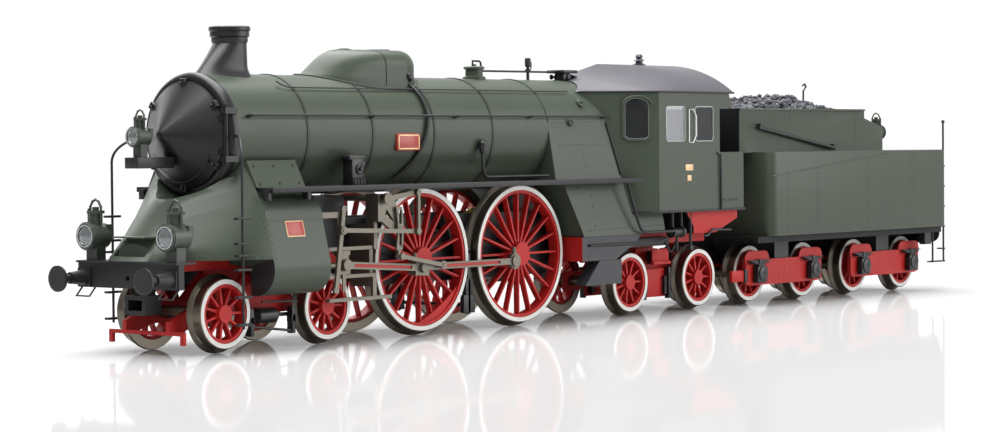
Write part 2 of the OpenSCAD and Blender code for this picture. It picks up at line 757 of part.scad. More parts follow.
// Front buffer beam with tapered buffer sleeves
module sleeve(x0) {
  rotate([0, -90, 0]) difference() {
    union() {
      cylinder(r1 = buffer_sleeve_r, r2 = buffer_sleeve_tip_r, h = buffer_sleeve_l);
      translate([-1.5, -1.5, 0]) cube([3, 3, 0.35]);
    }
    translate([0, 0, -4]) cylinder(r = buffer_stem_r + run_gap, h = buffer_sleeve_l + 5);
  }
}
module beam(x) {
  difference() {
    box([x, x + beam_t], [-beam_half_w, beam_half_w], [beam_low, beam_top]);
    for (y = [-buffer_y, buffer_y])
      x_rod([x - 1, x + beam_t + 1], y, buffer_z, buffer_stem_r + run_gap);
    x_rod([x - 1, x + beam_t + 1], 0, buffer_z, hook_hole_r);
  }
}
module buffer_beam() {
  grab_r = 0.15;
  grab_y = [beam_half_w - 3.6, beam_half_w - 0.5];
  color(dark_grey) {
    beam(beam_x);
    for (y = [-buffer_y, buffer_y]) translate([beam_x, y, buffer_z]) sleeve();
    box([beam_x - 0.5, front_lamp_x + 2], [-beam_half_w, beam_half_w], [beam_top, front_deck_z - 0.05]);
    both() wire_path([
      [beam_x + 0.5, grab_y[0], beam_low + 0.1], [beam_x - 0.9, grab_y[0], beam_low - 1.4],
      [beam_x - 0.9, grab_y[1], beam_low - 1.4], [beam_x + 0.5, grab_y[1], beam_low + 0.1]
    ], grab_r);
  }
}
module buffer_head() {
  dome = 0.12;
  color(dark_grey) rotate([0, 90, 0]) {
    cylinder(r1 = buffer_disc_r - 0.35, r2 = buffer_disc_r, h = dome);
    translate([0, 0, dome]) cylinder(r = buffer_disc_r, h = buffer_disc_t - dome);
    cylinder(r = buffer_stem_r, h = buffer_stem_l);
  }
}
module front_buffer_left() { translate([buffer_face_x, -buffer_y, buffer_z]) buffer_head(); }
module front_buffer_right() { translate([buffer_face_x, buffer_y, buffer_z]) buffer_head(); }
module rear_buffer_left() { translate([rear_face_x, -buffer_y, buffer_z]) mirror([1, 0, 0]) buffer_head(); }
module rear_buffer_right() { translate([rear_face_x, buffer_y, buffer_z]) mirror([1, 0, 0]) buffer_head(); }

// Coupler pocket with a shank that swings on a pin behind the beam
pocket_w = 3.2;
pocket_h = 1.7;
pocket_wall = 0.75;
pocket_x = beam_x + 1.5;
pocket_z = 8.1;
coupler_pin_x = beam_x + 7.6;
coupler_pin_r = 0.6;
module front_coupler() {
  depth = 3.6;
  shank_t = 1;
  eye_r = 1.4;
  out_w = pocket_w + 2 * pocket_wall;
  out_h = pocket_h + 2 * pocket_wall;
  eye_z = frame_low - 0.3 - shank_t;
  color(dark_grey) difference() {
    union() {
      box([pocket_x, pocket_x + depth], [-out_w / 2, out_w / 2],
        [pocket_z - out_h / 2, pocket_z + out_h / 2]);
      box([pocket_x + 0.8, pocket_x + depth], [-1, 1], [pocket_z, eye_z + shank_t]);
      box([pocket_x + 0.8, coupler_pin_x], [-1, 1], [eye_z, eye_z + shank_t]);
      z_rod(coupler_pin_x, 0, [eye_z, eye_z + shank_t], eye_r);
      z_rod(coupler_pin_x, 0, [eye_z, frame_low + 0.8], coupler_pin_r);
    }
    box([pocket_x - 1, pocket_x + depth - 0.6], [-pocket_w / 2, pocket_w / 2],
      [pocket_z - pocket_h / 2, pocket_z + pocket_h / 2]);
  }
}

// Smokebox front: a black ring with a rounded shoulder
module smokebox() {
  shoulder = boiler_r + band_h - door_r - 0.3;
  lip_r = door_r - 1.2;
  depth = 1.2;
  l = smokebox_x + ring_l - door_x;
  color(black) translate([smokebox_x + ring_l, 0, boiler_z]) rotate([0, -90, 0])
    rotate_extrude($fn = 96) difference() {
      square([boiler_r + band_h, l]);
      translate([0, l - depth]) square([lip_r, depth + 1]);
      translate([boiler_r + band_h - shoulder, l - shoulder]) difference() {
        square([shoulder + 1, shoulder + 1]);
        circle(r = shoulder);
      }
    }
  color(black) difference() {
    for (z = [boiler_z - 4.4, boiler_z + 3.4])
      box([hinge_x - hinge_r - 0.3, smokebox_x + ring_l - 0.1], [-hinge_y - 0.7, -hinge_y + 0.55],
        [z, z + 1]);
    z_rod(hinge_x, -hinge_y, [0, 80], hinge_r + run_gap);
  }
}

// Conical smokebox door with its hinge straps, dogs and the top lamp
door_gap = 0.1;
module smokebox_door() {
  edge = 0.5;
  tip_r = 1;
  shelf_x = door_x - door_cone - 6.4;
  dog_r = 0.35;
  color(black) translate([door_x - door_gap, 0, boiler_z]) rotate([0, -90, 0]) rotate_extrude($fn = 96)
    polygon([
      [0, 0], [door_r, 0], [door_r, edge * 0.6], [door_r - edge * 0.6, edge],
      [tip_r, door_cone], [tip_r * 0.6, door_cone + 0.25], [0, door_cone + 0.35]
    ]);
  color(black) {
    for (z = [boiler_z - 3.2, boiler_z + 2.2])
      box([hinge_x - 0.3, door_x - door_gap], [-hinge_y, -hinge_y + 2.8], [z, z + 1]);
    z_rod(hinge_x, -hinge_y, [boiler_z - 4.8, boiler_z + 4.8], hinge_r);
    for (t = [90, 146, 214, 34, 270])
      translate([door_x - 0.45, (door_r - 0.1) * cos(t), boiler_z + (door_r - 0.1) * sin(t)])
        rotate([0, -90, 0]) cylinder(r = dog_r, h = 0.55);
    box([shelf_x, door_x - 3], [-1.1, 1.1], [boiler_z - 4.9, boiler_z - 4.2]);
  }
  translate([shelf_x + 2, 0, boiler_z - 4.2]) lamp(0.72, 1.1);
}
// Oil lamp that looks to -X, standing on z = 0: body, lens rim, chimney cap and handle
module lamp(s, lift = 0) {
  body_r = 2.1 * s;
  body_l = 3.4 * s;
  foot_h = 1.9 * s + lift;
  rim_l = 0.5 * s;
  stack_r = 1.15 * s;
  stack_top = foot_h + 2 * body_r + 1.6 * s;
  cap_h = 0.5 * s;
  bail_r = 0.22 * s;
  bail_w = 1.3 * s;
  bail_top = stack_top + 2.3 * s;
  axis_z = foot_h + body_r;
  color(green) {
    x_rod([-body_l / 2, body_l / 2], 0, axis_z, body_r);
    x_rod([-body_l / 2 - rim_l, -body_l / 2], 0, axis_z, body_r * 1.12);
    box([-body_l * 0.3, body_l * 0.3], [-body_r * 0.6, body_r * 0.6], [0, axis_z - body_r * 0.6]);
    z_rod(0, 0, [axis_z + body_r * 0.7, stack_top], stack_r);
    z_rod(0, 0, [stack_top, stack_top + cap_h], stack_r * 1.3);
    z_rod(0, 0, [stack_top, stack_top + 2.2 * cap_h], stack_r * 0.5);
    box([body_l * 0.35, body_l / 2 + 0.5 * s], [-body_r * 0.9, body_r * 0.9],
      [axis_z, axis_z + body_r * 0.9]);
    wire_path([
      [0, -stack_r * 0.6, stack_top - 1.3 * s], [0, -bail_w, stack_top - 1.2 * s],
        [0, -bail_w, bail_top - 1.2 * s],
      [0, -0.55 * bail_w, bail_top - 0.3 * s], [0, 0, bail_top], [0, 0.55 * bail_w, bail_top - 0.3 * s],
      [0, bail_w, bail_top - 1.2 * s], [0, bail_w, stack_top - 1.2 * s],
        [0, stack_r * 0.6, stack_top - 1.3 * s]
    ], bail_r);
  }
}
front_lamp_x = beam_x + 1.75;
front_lamp_y = 9.3;
module headlamps() {
  both() translate([front_lamp_x, front_lamp_y, front_deck_z - 0.05]) lamp(0.98);
}

// Boiler barrel with raised bands, cut where the dome sits
module dome_plan(grow) {
  nose = 21.5;
  taper = 10.5;
  offset(r = grow) {
    translate([dome_rear_x, 0]) circle(r = dome_half_w);
    polygon([
      [dome_rear_x, -dome_half_w], [dome_rear_x, dome_half_w], [dome_rear_x - taper, dome_half_w],
      [dome_rear_x - nose, 0.9], [dome_rear_x - nose, -0.9], [dome_rear_x - taper, -dome_half_w]
    ]);
  }
}
dome_flange = 0.45;
module boiler_barrel() {
  l = firebox_x - smokebox_x - ring_l;
  color(green) difference() {
    union() {
      translate([smokebox_x + ring_l, 0, boiler_z]) rotate([0, 90, 0])
        cylinder(r = boiler_r, h = l, $fn = 96);
      for (i = [0:3])
        translate([first_band_x + i * band_pitch - band_w / 2, 0, boiler_z]) rotate([0, 90, 0])
          cylinder(r = boiler_r + band_h, h = band_w, $fn = 96);
    }
    intersection() {
      translate([0, 0, boiler_z]) linear_extrude(30) dome_plan(dome_flange + 0.05);
      difference() {
        boiler_form(1);
        boiler_form(0);
      }
    }
  }
}
// Chimney: a turned stack whose front is drawn out into a raked edge
module chimney() {
  stack_r = 2.85;
  rim_r = 3.48;
  ring_z = chimney_top - 2.7;
  nose_x = smokebox_x - 0.7;
  foot = boiler_z + boiler_r - 2.2;
  color(black) difference() {
    union() {
      translate([chimney_x, 0, 0]) rotate_extrude($fn = 64) polygon([
        [0, ring_z - 0.2], [stack_r, ring_z - 0.2], [stack_r + 0.2, ring_z + 0.2],
          [stack_r + 0.2, ring_z + 0.8],
        [stack_r + 0.45, ring_z + 1], [stack_r + 0.45, chimney_top - 0.9], [rim_r, chimney_top - 0.7],
        [rim_r, chimney_top - 0.15], [rim_r - 0.2, chimney_top], [stack_r - 0.5, chimney_top],
          [stack_r - 0.6, ring_z], [0, ring_z]
      ]);
      hull() {
        translate([chimney_x, 0, ring_z - 0.3]) cylinder(r = stack_r, h = 0.3);
        translate([chimney_x, 0, foot]) cylinder(r = stack_r + 0.15, h = 2.6);
        translate([nose_x + 0.5, 0, foot + 1.6]) cylinder(r = 0.5, h = 0.5);
      }
      translate([chimney_x, 0, foot]) rotate_extrude($fn = 64) polygon([
        [0, 0], [stack_r + 1, 0], [stack_r + 1, 1.9], [stack_r + 0.45, 2.7], [stack_r, 4.6], [0, 4.6]
      ]);
    }
    boiler_form(band_h + seat_gap);
  }
}
// Long dome casing, pointed in front, on a flange that follows the boiler
module dome_casing() {
  round = 2.6;
  top = dome_top - round;
  lid_r = 1.5;
  nose = 21.5;
  color(green) {
    difference() {
      hull() {
        translate([dome_rear_x, 0, boiler_z + 5]) cylinder(r = dome_half_w, h = 6.4);
        translate([dome_rear_x - 9.5, 0, boiler_z + 5]) cylinder(r = dome_half_w, h = 6);
        translate([dome_rear_x - nose + 1, 0, boiler_z + 5]) cylinder(r = 1, h = boiler_r - 4.9);
        translate([dome_rear_x, 0, top]) rotate_extrude($fn = 32) translate([dome_half_w - round - 0.3, 0])
          circle(r = round, $fn = 24);
        for (y = [-2, 2]) translate([dome_rear_x - 8, y, top]) sphere(r = round, $fn = 32);
        translate([dome_rear_x - 14, 0, top - 0.55]) sphere(r = 1.7, $fn = 32);
      }
      boiler_form(seat_gap);
    }
    intersection() {
      translate([0, 0, boiler_z + 2]) linear_extrude(10) difference() {
        dome_plan(dome_flange);
        dome_plan(-0.5);
      }
      difference() {
        boiler_form(0.4);
        boiler_form(seat_gap);
      }
    }
    for (x = [dome_rear_x, dome_rear_x - 8.4])
      translate([x, 0, dome_top - 0.2]) cylinder(r = x == dome_rear_x ? lid_r : lid_r * 0.7, h = 0.5);
  }
}

// Firebox: round top on flared sides, hollow where the motor sits
module firebox_outline(cut) {
  low = firebox_low_z - (cut > 0 ? 1 : 0);
  knee = boiler_r - cut - 0.02;
  translate([0, boiler_z]) circle(r = boiler_r - cut, $fn = 96);
  polygon([
    [cut - firebox_half_low, low], [firebox_half_low - cut, low], [knee, boiler_z + 0.9],
      [-knee, boiler_z + 0.9]
  ]);
}
module firebox() {
  front_cut = [firebox_x - 1, firebox_x + 2.2, firebox_x + 6.1];
  color(green) difference() {
    across(firebox_x, backhead_x - firebox_x) firebox_outline(0);
    across(firebox_x + 8, backhead_x - firebox_x - 8 - firebox_wall) intersection() {
      firebox_outline(firebox_wall);
      translate([-20, 0]) square([40, 30]);
    }
    side(-20, 40) polygon([
      [front_cut[0], board_z - 1], [front_cut[1], board_z - 1], [front_cut[2], firebox_low_z],
      [front_cut[2], 0], [front_cut[0], 0]
    ]);
    // Room for the worm shaft and the motor
    box([firebox_x - 1, firebox_x + 9], [-frame_y, frame_y], [0, 28]);
  }
  color(green) translate([firebox_x + 0.3 - band_w / 2, 0, boiler_z]) rotate([0, 90, 0]) intersection() {
    difference() {
      cylinder(r = boiler_r + band_h, h = band_w, $fn = 96);
      translate([0, 0, -1]) cylinder(r = boiler_r - 0.2, h = band_w + 2, $fn = 96);
    }
    translate([-20, -20, 0]) cube([18, 40, 5]);
  }
}
// Ashpan sides below the firebox and the hopper in front of the trailing wheels
module ashpan() {
  x = firebox_x + 5.8;
  hopper_y = [casing_in - 0.4, firebox_half_low - 0.4];
  in_y = frame_out + 0.1;
  room_x = trail_1_x - carrier_d / 2 - flange_h - 1;
  color(dark_grey) both() {
    side(in_y, firebox_half_low - in_y - 0.3) polygon([
      [x, firebox_low_z - 0.05], [x, 11.4], [room_x - 2.1, 11.4], [room_x + 1.8, 13.3],
      [room_x + 3.8, frame_low + 0.3], [room_x + 6.1, firebox_low_z - 0.05]
    ]);
    side(hopper_y[0], hopper_y[1] - hopper_y[0]) polygon([
      [x + 5.5, 11.35], [x + 1.1, 6.8], [room_x - 0.2, 6.8], [room_x - 0.2, 11.35]
    ]);
  }
}

// Cab of sheet metal: V-shaped front, sides with two windows, low doors
front_window = [12.28, 15.16, 34.25, 42.1];
side_windows = [[2.3, 8.6], [12, 18.2]];
window_z = [33.7, 40.5];
module arched(y0, y1, z0, z1) {
  r = (y1 - y0) / 2;
  translate([y0, z0]) square([y1 - y0, z1 - z0 - r]);
  translate([y0 + r, z1 - r]) circle(r = r);
}
module rounded_opening(x0, x1, z0, z1) {
  r = 0.7;
  translate([x0 + r, z0]) square([x1 - x0 - 2 * r, z1 - z0]);
  translate([x0, z0 + r]) square([x1 - x0, z1 - z0 - 2 * r]);
  for (x = [x0 + r, x1 - r], z = [z0 + r, z1 - r]) translate([x, z]) circle(r = r);
}
module cab_plan(inset) {
  polygon([
    [cab_nose_x + cab_slope * 4 + inset * 1.68, 4], [cab_corner_x + inset * 0.52, cab_half_w - inset],
    [cab_rear_x + 1, cab_half_w - inset], [cab_rear_x + 1, -cab_half_w + inset],
    [cab_corner_x + inset * 0.52, -cab_half_w + inset], [cab_nose_x + cab_slope * 4 + inset * 1.68, -4]
  ]);
}
module cab_shell() {
  open_x = cab_rear_x - 0.9;
  color(green) difference() {
    translate([0, 0, cab_low_z]) linear_extrude(eave_z - cab_low_z) difference() {
      cab_plan(0);
      cab_plan(cab_wall);
      translate([cab_rear_x, -20]) square([5, 40]);
    }
    across(firebox_x - 2, backhead_x - firebox_x + 2) firebox_outline(-seat_gap);
    for (w = side_windows) side(-20, 40)
      rounded_opening(cab_corner_x + w[0], cab_corner_x + w[1], window_z[0], window_z[1]);
    across(cab_nose_x, cab_corner_x + 1 - cab_nose_x) for (m = [0, 1])
      mirror([m, 0]) arched(front_window[0], front_window[1], front_window[2], front_window[3]);
  }
  color(green) both() {
    box([open_x, cab_rear_x], [cab_half_w - 1.8, cab_half_w - cab_wall + 0.01], [cab_low_z, eave_z]);
    side(cab_half_w - cab_wall, cab_wall) polygon([
      [cab_rear_x - 0.01, 40.3], [cab_rear_x + 4.3, 40.3], [cab_rear_x + 3.2, eave_z],
      [cab_rear_x - 0.01, eave_z]
    ]);
    box([cab_rear_x + 0.15, platform_x - 0.7], [cab_half_w - cab_wall, cab_half_w],
      [cab_low_z, door_panel_top]);
    box([platform_x - 1.1, platform_x - 0.7], [cab_half_w - 3, cab_half_w - cab_wall + 0.01],
      [cab_low_z, door_panel_top]);
  }
}
// Panes seat inside the window openings
module cab_glazing() {
  pane = 0.2;
  play = 0.05;
  color(glass) {
    both() for (w = side_windows)
      side(cab_half_w - cab_wall + 0.1, pane)
        rounded_opening(cab_corner_x + w[0] + play, cab_corner_x + w[1] - play, window_z[0] + play,
          window_z[1] - play);
    intersection() {
      across(cab_nose_x, cab_corner_x + 1 - cab_nose_x) for (m = [0, 1])
        mirror([m, 0]) arched(front_window[0] + play, front_window[1] - play, front_window[2] + play,
          front_window[3] - play);
      linear_extrude(60) difference() {
        cab_plan(0.1);
        cab_plan(0.1 + pane);
      }
    }
  }
}
// Vaulted roof whose front is hipped down to the V-shaped eaves, behind the turret
turret_x = [firebox_x + 15.2, firebox_x + 19.6];
turret_half = 2.1;
roof_r = (cab_half_w * cab_half_w + pow(ridge_z - eave_z, 2)) / (2 * (ridge_z - eave_z));
module vault(lift) {
  intersection() {
    translate([0, ridge_z - roof_r - lift]) circle(r = roof_r, $fn = 160);
    translate([-cab_half_w - 0.35, eave_z + 0.02]) square([2 * cab_half_w + 0.7, 10]);
  }
}
hip_x = cab_corner_x + 2.6;
module roof_form(lift) {
  rear_x = cab_rear_x + 5;
  rise = ridge_z - eave_z + 1;
  run = (hip_x - cab_nose_x) * rise / (ridge_z - eave_z);
  nose_x = cab_nose_x - 0.5 + lift * run / rise;
  half = cab_half_w + 1;
  intersection() {
    across(cab_nose_x, rear_x - cab_nose_x + (lift > 0 ? 1 : 0)) vault(lift);
    hull() for (t = [0, 1])
      translate([nose_x + t * run, 0, eave_z + t * rise]) linear_extrude(0.01) polygon([
        [0, 0], [cab_slope * half, half], [70, half], [70, -half], [cab_slope * half, -half]
      ]);
  }
}
module cab_roof() {
  sheet = 0.45;
  vent_x = cab_corner_x + 16.1;
  color(dark_grey) {
    difference() {
      roof_form(0);
      roof_form(sheet);
      boiler_form(band_h + seat_gap);
      translate([0, 0, eave_z - 5]) linear_extrude(5.02) cab_plan(-0.02);
      box([cab_nose_x, turret_x[1] + 0.03], [-turret_half - 0.03, turret_half + 0.03], [0, 60]);
    }
    translate([vent_x, 0, 0]) rotate_extrude() polygon([
      [0, ridge_z - 0.25], [1.3, ridge_z - 0.25], [1.3, ridge_z + 0.15], [0.7, ridge_z + 0.4],
        [0.7, ridge_z + 0.8],
      [1.15, ridge_z + 0.9], [0.6, ridge_z + 1.3], [0.6, ridge_z + 1.6], [0.8, ridge_z + 1.7],
        [0.5, ridge_z + 2.15], [0, ridge_z + 2.15]
    ]);
  }
}

// Running boards with brackets, and the cab floor
module running_boards() {
  front_x = casing_x + 0.4;
  rear_x = firebox_x + 22;
  in_y = face_y + 0.5;
  out_y = cab_half_w - 0.4;
  bracket = 0.5;
  bracket_x = [driver_1_x + 7.2, driver_2_x - 7.2, driver_2_x + 6];
  color(dark_grey) {
    both() {
      difference() {
        union() {
          box([front_x, rear_x], [in_y, out_y], [board_z - board_t, board_z]);
          box([front_x, rear_x], [out_y - 0.3, out_y], [board_z - board_t - 0.35, board_z]);
          for (x = bracket_x)
            box([x, x + bracket], [boiler_r * 0.45, in_y + 0.1], [board_z - board_t, board_z]);
        }
        boiler_form(band_h + seat_gap);
        across(firebox_x - 1, 60) firebox_outline(-seat_gap);
        translate([0, 0, board_z - 3]) linear_extrude(5) cab_plan(-0.05);
      }
    }
    difference() {
      translate([0, 0, floor_z - 0.5]) linear_extrude(0.48) union() {
        cab_plan(0);
        translate([cab_rear_x, -cab_half_w]) square([platform_x - cab_rear_x, 2 * cab_half_w]);
      }
      across(firebox_x - 1, backhead_x - firebox_x + 1.2) firebox_outline(-seat_gap);
      box([firebox_x, firebox_x + 30], [-frame_y, frame_y], [0, 40]);
    }
  }
}

// Skirt: a streamlined apron from the buffer beam back to the cylinders
skirt_nose_x = beam_x - 1.2;
skirt_h = 15.7;
skirt_levels = 7;
// Plan of the skirt at a share t of its height
module skirt_slice(t) {
  rear_half = cab_half_w - 0.1 - 6.9 * pow(t, 1.8);
  mid_half = cab_half_w - 2.2 - 5.6 * pow(t, 1.2);
  translate([0, 0, skirt_low + t * skirt_h]) linear_extrude(0.02) {
    translate([skirt_nose_x + 8.5 + 11 * pow(t, 0.84) + 3.7 * pow(t, 4), 0])
      circle(r = 8.5 - 3.3 * t * t, $fn = 64);
    translate([casing_x - 0.1, -rear_half]) square([0.1, 2 * rear_half]);
    translate([casing_x - 5.5 + 5 * t, -mid_half]) square([0.1, 2 * mid_half]);
  }
}
module front_skirt() {
  color(green) difference() {
    for (i = [1:skirt_levels]) hull() {
      skirt_slice((i - 1) / skirt_levels);
      skirt_slice(i / skirt_levels);
    }
    boiler_form(band_h + seat_gap);
    translate([casing_x, -30, 0]) cube([40, 60, 60]);
    // Hatch under the front visor
    translate([skirt_nose_x - 1, -3.6, skirt_low + 0.7]) cube([3.6, 7.2, 2.9]);
  }
  color(dark_grey) translate([skirt_nose_x + 1.4, -3.8, skirt_low + 3.65]) cube([2.6, 7.6, 0.25]);
}
// Cylinder casings with the valve chest above, and the access cover beside the smokebox
module casing_outline() {
  cyl = [cab_half_w - 4.2, 13.6];
  cyl_r = 4.4;
  chest = [cab_half_w - 6.5, 21.2];
  chest_r = 4.9;
  difference() {
    union() {
      translate(cyl) circle(r = cyl_r, $fn = 64);
      translate(chest) circle(r = chest_r, $fn = 64);
      polygon([[frame_out, 14.2], [cyl[0] + cyl_r * 0.985, 14.2], [chest[0] + chest_r * 0.9, 23.2],
        [frame_out, casing_top]]);
    }
    square([casing_in, frame_low + 0.5]);
    square([frame_out, 40]);
    translate([0, casing_top]) square([30, 20]);
  }
}
module cylinder_casings() {
  cover = [[9, board_z + 0.02], [12.7, board_z + 0.02], [10.4, 31.2], [9.2, 31.2]];
  color(green) both() {
    difference() {
      union() {
        across(casing_x, casing_l) casing_outline();
        box([lead_2_x - 5.5 - lead_wheelbase / 2 + 3.2, lead_2_x - 5.5 - lead_wheelbase / 2 + 8],
          [frame_out, casing_in + 0.5], [driver_z - 3, frame_low + 0.6]);
        across(casing_x + 0.02, 11.4) polygon(cover);
        across(casing_x, casing_l) polygon([[frame_out, casing_top - 0.1], [12.6, casing_top - 0.1],
          [12.4, board_z - board_t - 0.05], [frame_out, board_z - board_t - 0.05]]);
      }
      boiler_form(band_h + seat_gap);
      // Bores for the piston rod and its crosshead guide
      x_rod([casing_x + 1.2, casing_rear_x + 1], slide_y + slide_t / 2, driver_z, piston_rod_r + run_gap);
    }
  }
}

// Handrails, ladder poles, thin rods and feed pipes
module rails_and_pipes() {
  r = 0.2;
  rail_z = boiler_z + 3.2;
  rail_y = boiler_r + 0.45;
  rail_x = [smokebox_x + 1.5, cab_nose_x + cab_slope * (rail_y - r) - 0.02];
  knob = [smokebox_x + 1.9, smokebox_x + 31.6, smokebox_x + 53.9, smokebox_x + 75, smokebox_x + 97.3];
  pole = [lead_1_x - 1.4, cab_half_w - 1.2];
  pole_top = 31.4;
  rung_z = [5, 9.4, 13.8, 16.1, 18, 22];
  rod_z = boiler_z + 7.9;
  rod_y = sqrt(pow(boiler_r + band_h, 2) - pow(rod_z - boiler_z, 2)) + 0.35;
  color(black) both() difference() {
    union() {
    x_rod(rail_x, rail_y, rail_z, r);
    for (x = knob)
      wire([x, sqrt(pow(boiler_r, 2) - 9) - 0.2, boiler_z + 3], [x, rail_y, rail_z], 0.28);
    wire_path([
      [pole[0], pole[1], carrier_z - 2.2], [pole[0], pole[1], pole_top],
        [pole[0] + 0.6, pole[1] - 1.2, pole_top + 2.2],
      [pole[0] + 2.6, pole[1] - 3, pole_top + 3.4], [smokebox_x + 0.6, boiler_r + 0.1, boiler_z - 0.2]
    ], 0.22);
    for (z = rung_z) x_rod([pole[0] - 1.3, pole[0] + 1.3], pole[1], z, 0.17);
    wire([pole[0] + 0.1, pole[1], 22], [casing_x - 2, cab_half_w - 2.5, 22], 0.17);
    x_rod([smokebox_x + 16.6, firebox_x + 10], rod_y, rod_z, 0.1);
    }
    boiler_form(band_h + seat_gap);
  }
}

// Safety valve, whistle, turret cover, clack valves and the lubricator
module boiler_fittings() {
  top = boiler_z + boiler_r;
  valve_x = firebox_x - 9.2;
  whistle_x = firebox_x + 6.8;
  clack_x = firebox_x - 19.9;
  lub_x = driver_1_x - 21.2;
  color(green) difference() {
    translate([valve_x, 0, top - 0.4]) union() {
      cylinder(r = 2.1, h = 0.9);
      cylinder(r = 1.7, h = 2.2);
      translate([0, 0, 2.2]) cylinder(r = 1.9, h = 0.3);
    }
    boiler_form(seat_gap);
  }
  color(black) difference() {
    union() {
      wire_path([
        [valve_x, 0, top + 2], [valve_x, 0, top + 3.1], [valve_x + 1.7, 0, top + 3.1],
          [valve_x + 2.2, 0, top + 1.5],
        [turret_x[0], 0, top + 1.4]
      ], 0.2);
      z_rod(whistle_x, 0, [top - 0.3, top + 2.4], 0.25);
      z_rod(whistle_x, 0, [top + 2.2, top + 4.2], 0.5);
      box(turret_x, [-turret_half, turret_half], [top - 0.6, top + 2]);
      both() {
        box([clack_x - 0.7, clack_x + 0.7], [boiler_r - 2, boiler_r + 0.9],
          [boiler_z - 2.7, boiler_z - 1.4]);
        z_rod(clack_x, boiler_r + 0.5, [boiler_z - 3.6, boiler_z - 1], 0.55);
        wire_path([
          [clack_x, boiler_r + 0.5, boiler_z - 3.4], [clack_x + 0.2, boiler_r + 0.5, board_z + 1.5],
          [clack_x + 1.2, boiler_r + 0.5, board_z + 0.7], [firebox_x - 0.6, boiler_r + 0.6, board_z + 0.8]
        ], 0.28);
        box([lub_x, lub_x + 3], [face_y + 0.6, face_y + 2.8], [board_z + 0.02, board_z + 4.4]);
        box([lub_x - 0.6, lub_x + 3.6], [face_y + 0.6, face_y + 2.9], [board_z + 4.3, board_z + 5]);
      }
    }
    boiler_form(band_h + seat_gap);
  }
}

// Motor between the frame plates, and the worm shaft that reaches over the driving axle
motor_r = 5.2;
motor_x = driver_2_x + driver_d / 2 + 1.2;
motor_l = 17;
shaft_r = 0.75;
module motor() {
  flat = 4.9;
  color([0.6, 0.6, 0.62]) difference() {
    intersection() {
      x_rod([motor_x, motor_x + motor_l], 0, worm_z, motor_r);
      box([motor_x - 1, motor_x + motor_l + 1], [-motor_r, motor_r], [rear_deck_z + 0.1, worm_z + flat]);
    }
    x_rod([motor_x - 1, motor_x + motor_l + 1], 0, worm_z, shaft_r + run_gap);
  }
}
module worm_shaft() {
  threads = 6;
  pitch = 0.9;
  color([0.75, 0.6, 0.25]) {
    x_rod([driver_2_x - 4, motor_x + motor_l + 0.8], 0, worm_z, shaft_r);
    for (i = [0:threads - 1])
      translate([driver_2_x + (i - threads / 2) * pitch, 0, worm_z]) rotate([0, 90, 0]) {
        cylinder(r1 = worm_r - 0.4, r2 = worm_r, h = pitch / 2);
        translate([0, 0, pitch / 2]) cylinder(r1 = worm_r, r2 = worm_r - 0.4, h = pitch / 2);
      }
  }
}

// Bogies of the engine: inside frames with a pivot bore, guard irons and brake gear
module pivot_block(x, z, w, l) {
  box([x - l / 2, x + l / 2], [-w, w], z);
}
module engine_bogie(x1, x2) {
  y = 4.6;
  t = 0.8;
  end = 2;
  low = carrier_z - 1.9;
  high = carrier_z + 1.8;
  block_z = [carrier_z + 0.6, frame_low - 0.4];
  x = (x1 + x2) / 2;
  difference() {
    union() {
      both() side(y, t) polygon([
        [x1 - end, low], [x1 + 2.6, low], [x1 + 4.4, low + 1.2], [x2 - 4.4, low + 1.2], [x2 - 2.6, low],
        [x2 + end, low], [x2 + end, high], [x2 - 4, high], [x + 3.4, block_z[1] - 0.6],
          [x - 3.4, block_z[1] - 0.6],
        [x1 + 4, high], [x1 - end, high]
      ]);
      pivot_block(x, block_z, y + 0.1, 6);
      children();
    }
    z_rod(x, 0, [0, 30], pivot_r + run_gap);
    for (a = [x1, x2]) y_rod(a, [-20, 20], carrier_z, carrier_axle_d / 2 + run_gap);
  }
}
module lead_bogie_frame() {
  bar_x = [lead_1_x - 8.4, lead_1_x - 7.8];
  iron_y = 8.3;
  bar_z = [3.3, 3.9];
  iron_low = 1.8;
  cyl_x = lead_pivot_x;
  color(red) engine_bogie(lead_1_x, lead_2_x) {
    box(bar_x, [-iron_y - 0.4, iron_y + 0.4], bar_z);
    both() {
      box(bar_x, [iron_y - 0.4, iron_y + 0.4], [iron_low, bar_z[1]]);
      side(4.6, 0.8) polygon([
        [bar_x[0], bar_z[0]], [bar_x[1] + 1.2, bar_z[0]], [lead_1_x - 2.4, carrier_z - 1.9],
          [lead_1_x - 1, carrier_z - 1.9],
        [lead_1_x - 1, carrier_z + 1], [lead_1_x - 4, carrier_z + 0.8], [bar_x[0], bar_z[1] + 1.6]
      ]);
    }
  }
  // Brake cylinders and hangers between the wheels
  color(black) both() {
    x_rod([cyl_x - 2.4, cyl_x + 1.6], 7, carrier_z - 1, 1.3);
    y_rod(cyl_x, [5.4 + press_gap, 6.2], carrier_z - 1, 0.8);
    box([cyl_x + 1.5, cyl_x + 5.2], [6.7, 7.3], [carrier_z - 1.3, carrier_z - 0.7]);
  }
}
module trailing_bogie_frame() {
  color(red) engine_bogie(trail_1_x, trail_2_x);
  color(black) both() {
    for (x = [trail_pivot_x - 3.4, trail_pivot_x + 3.4])
      box([x - 0.5, x + 0.5], [5.4 + press_gap, 7.6], [carrier_z - 3, carrier_z + 0.6]);
  }
}

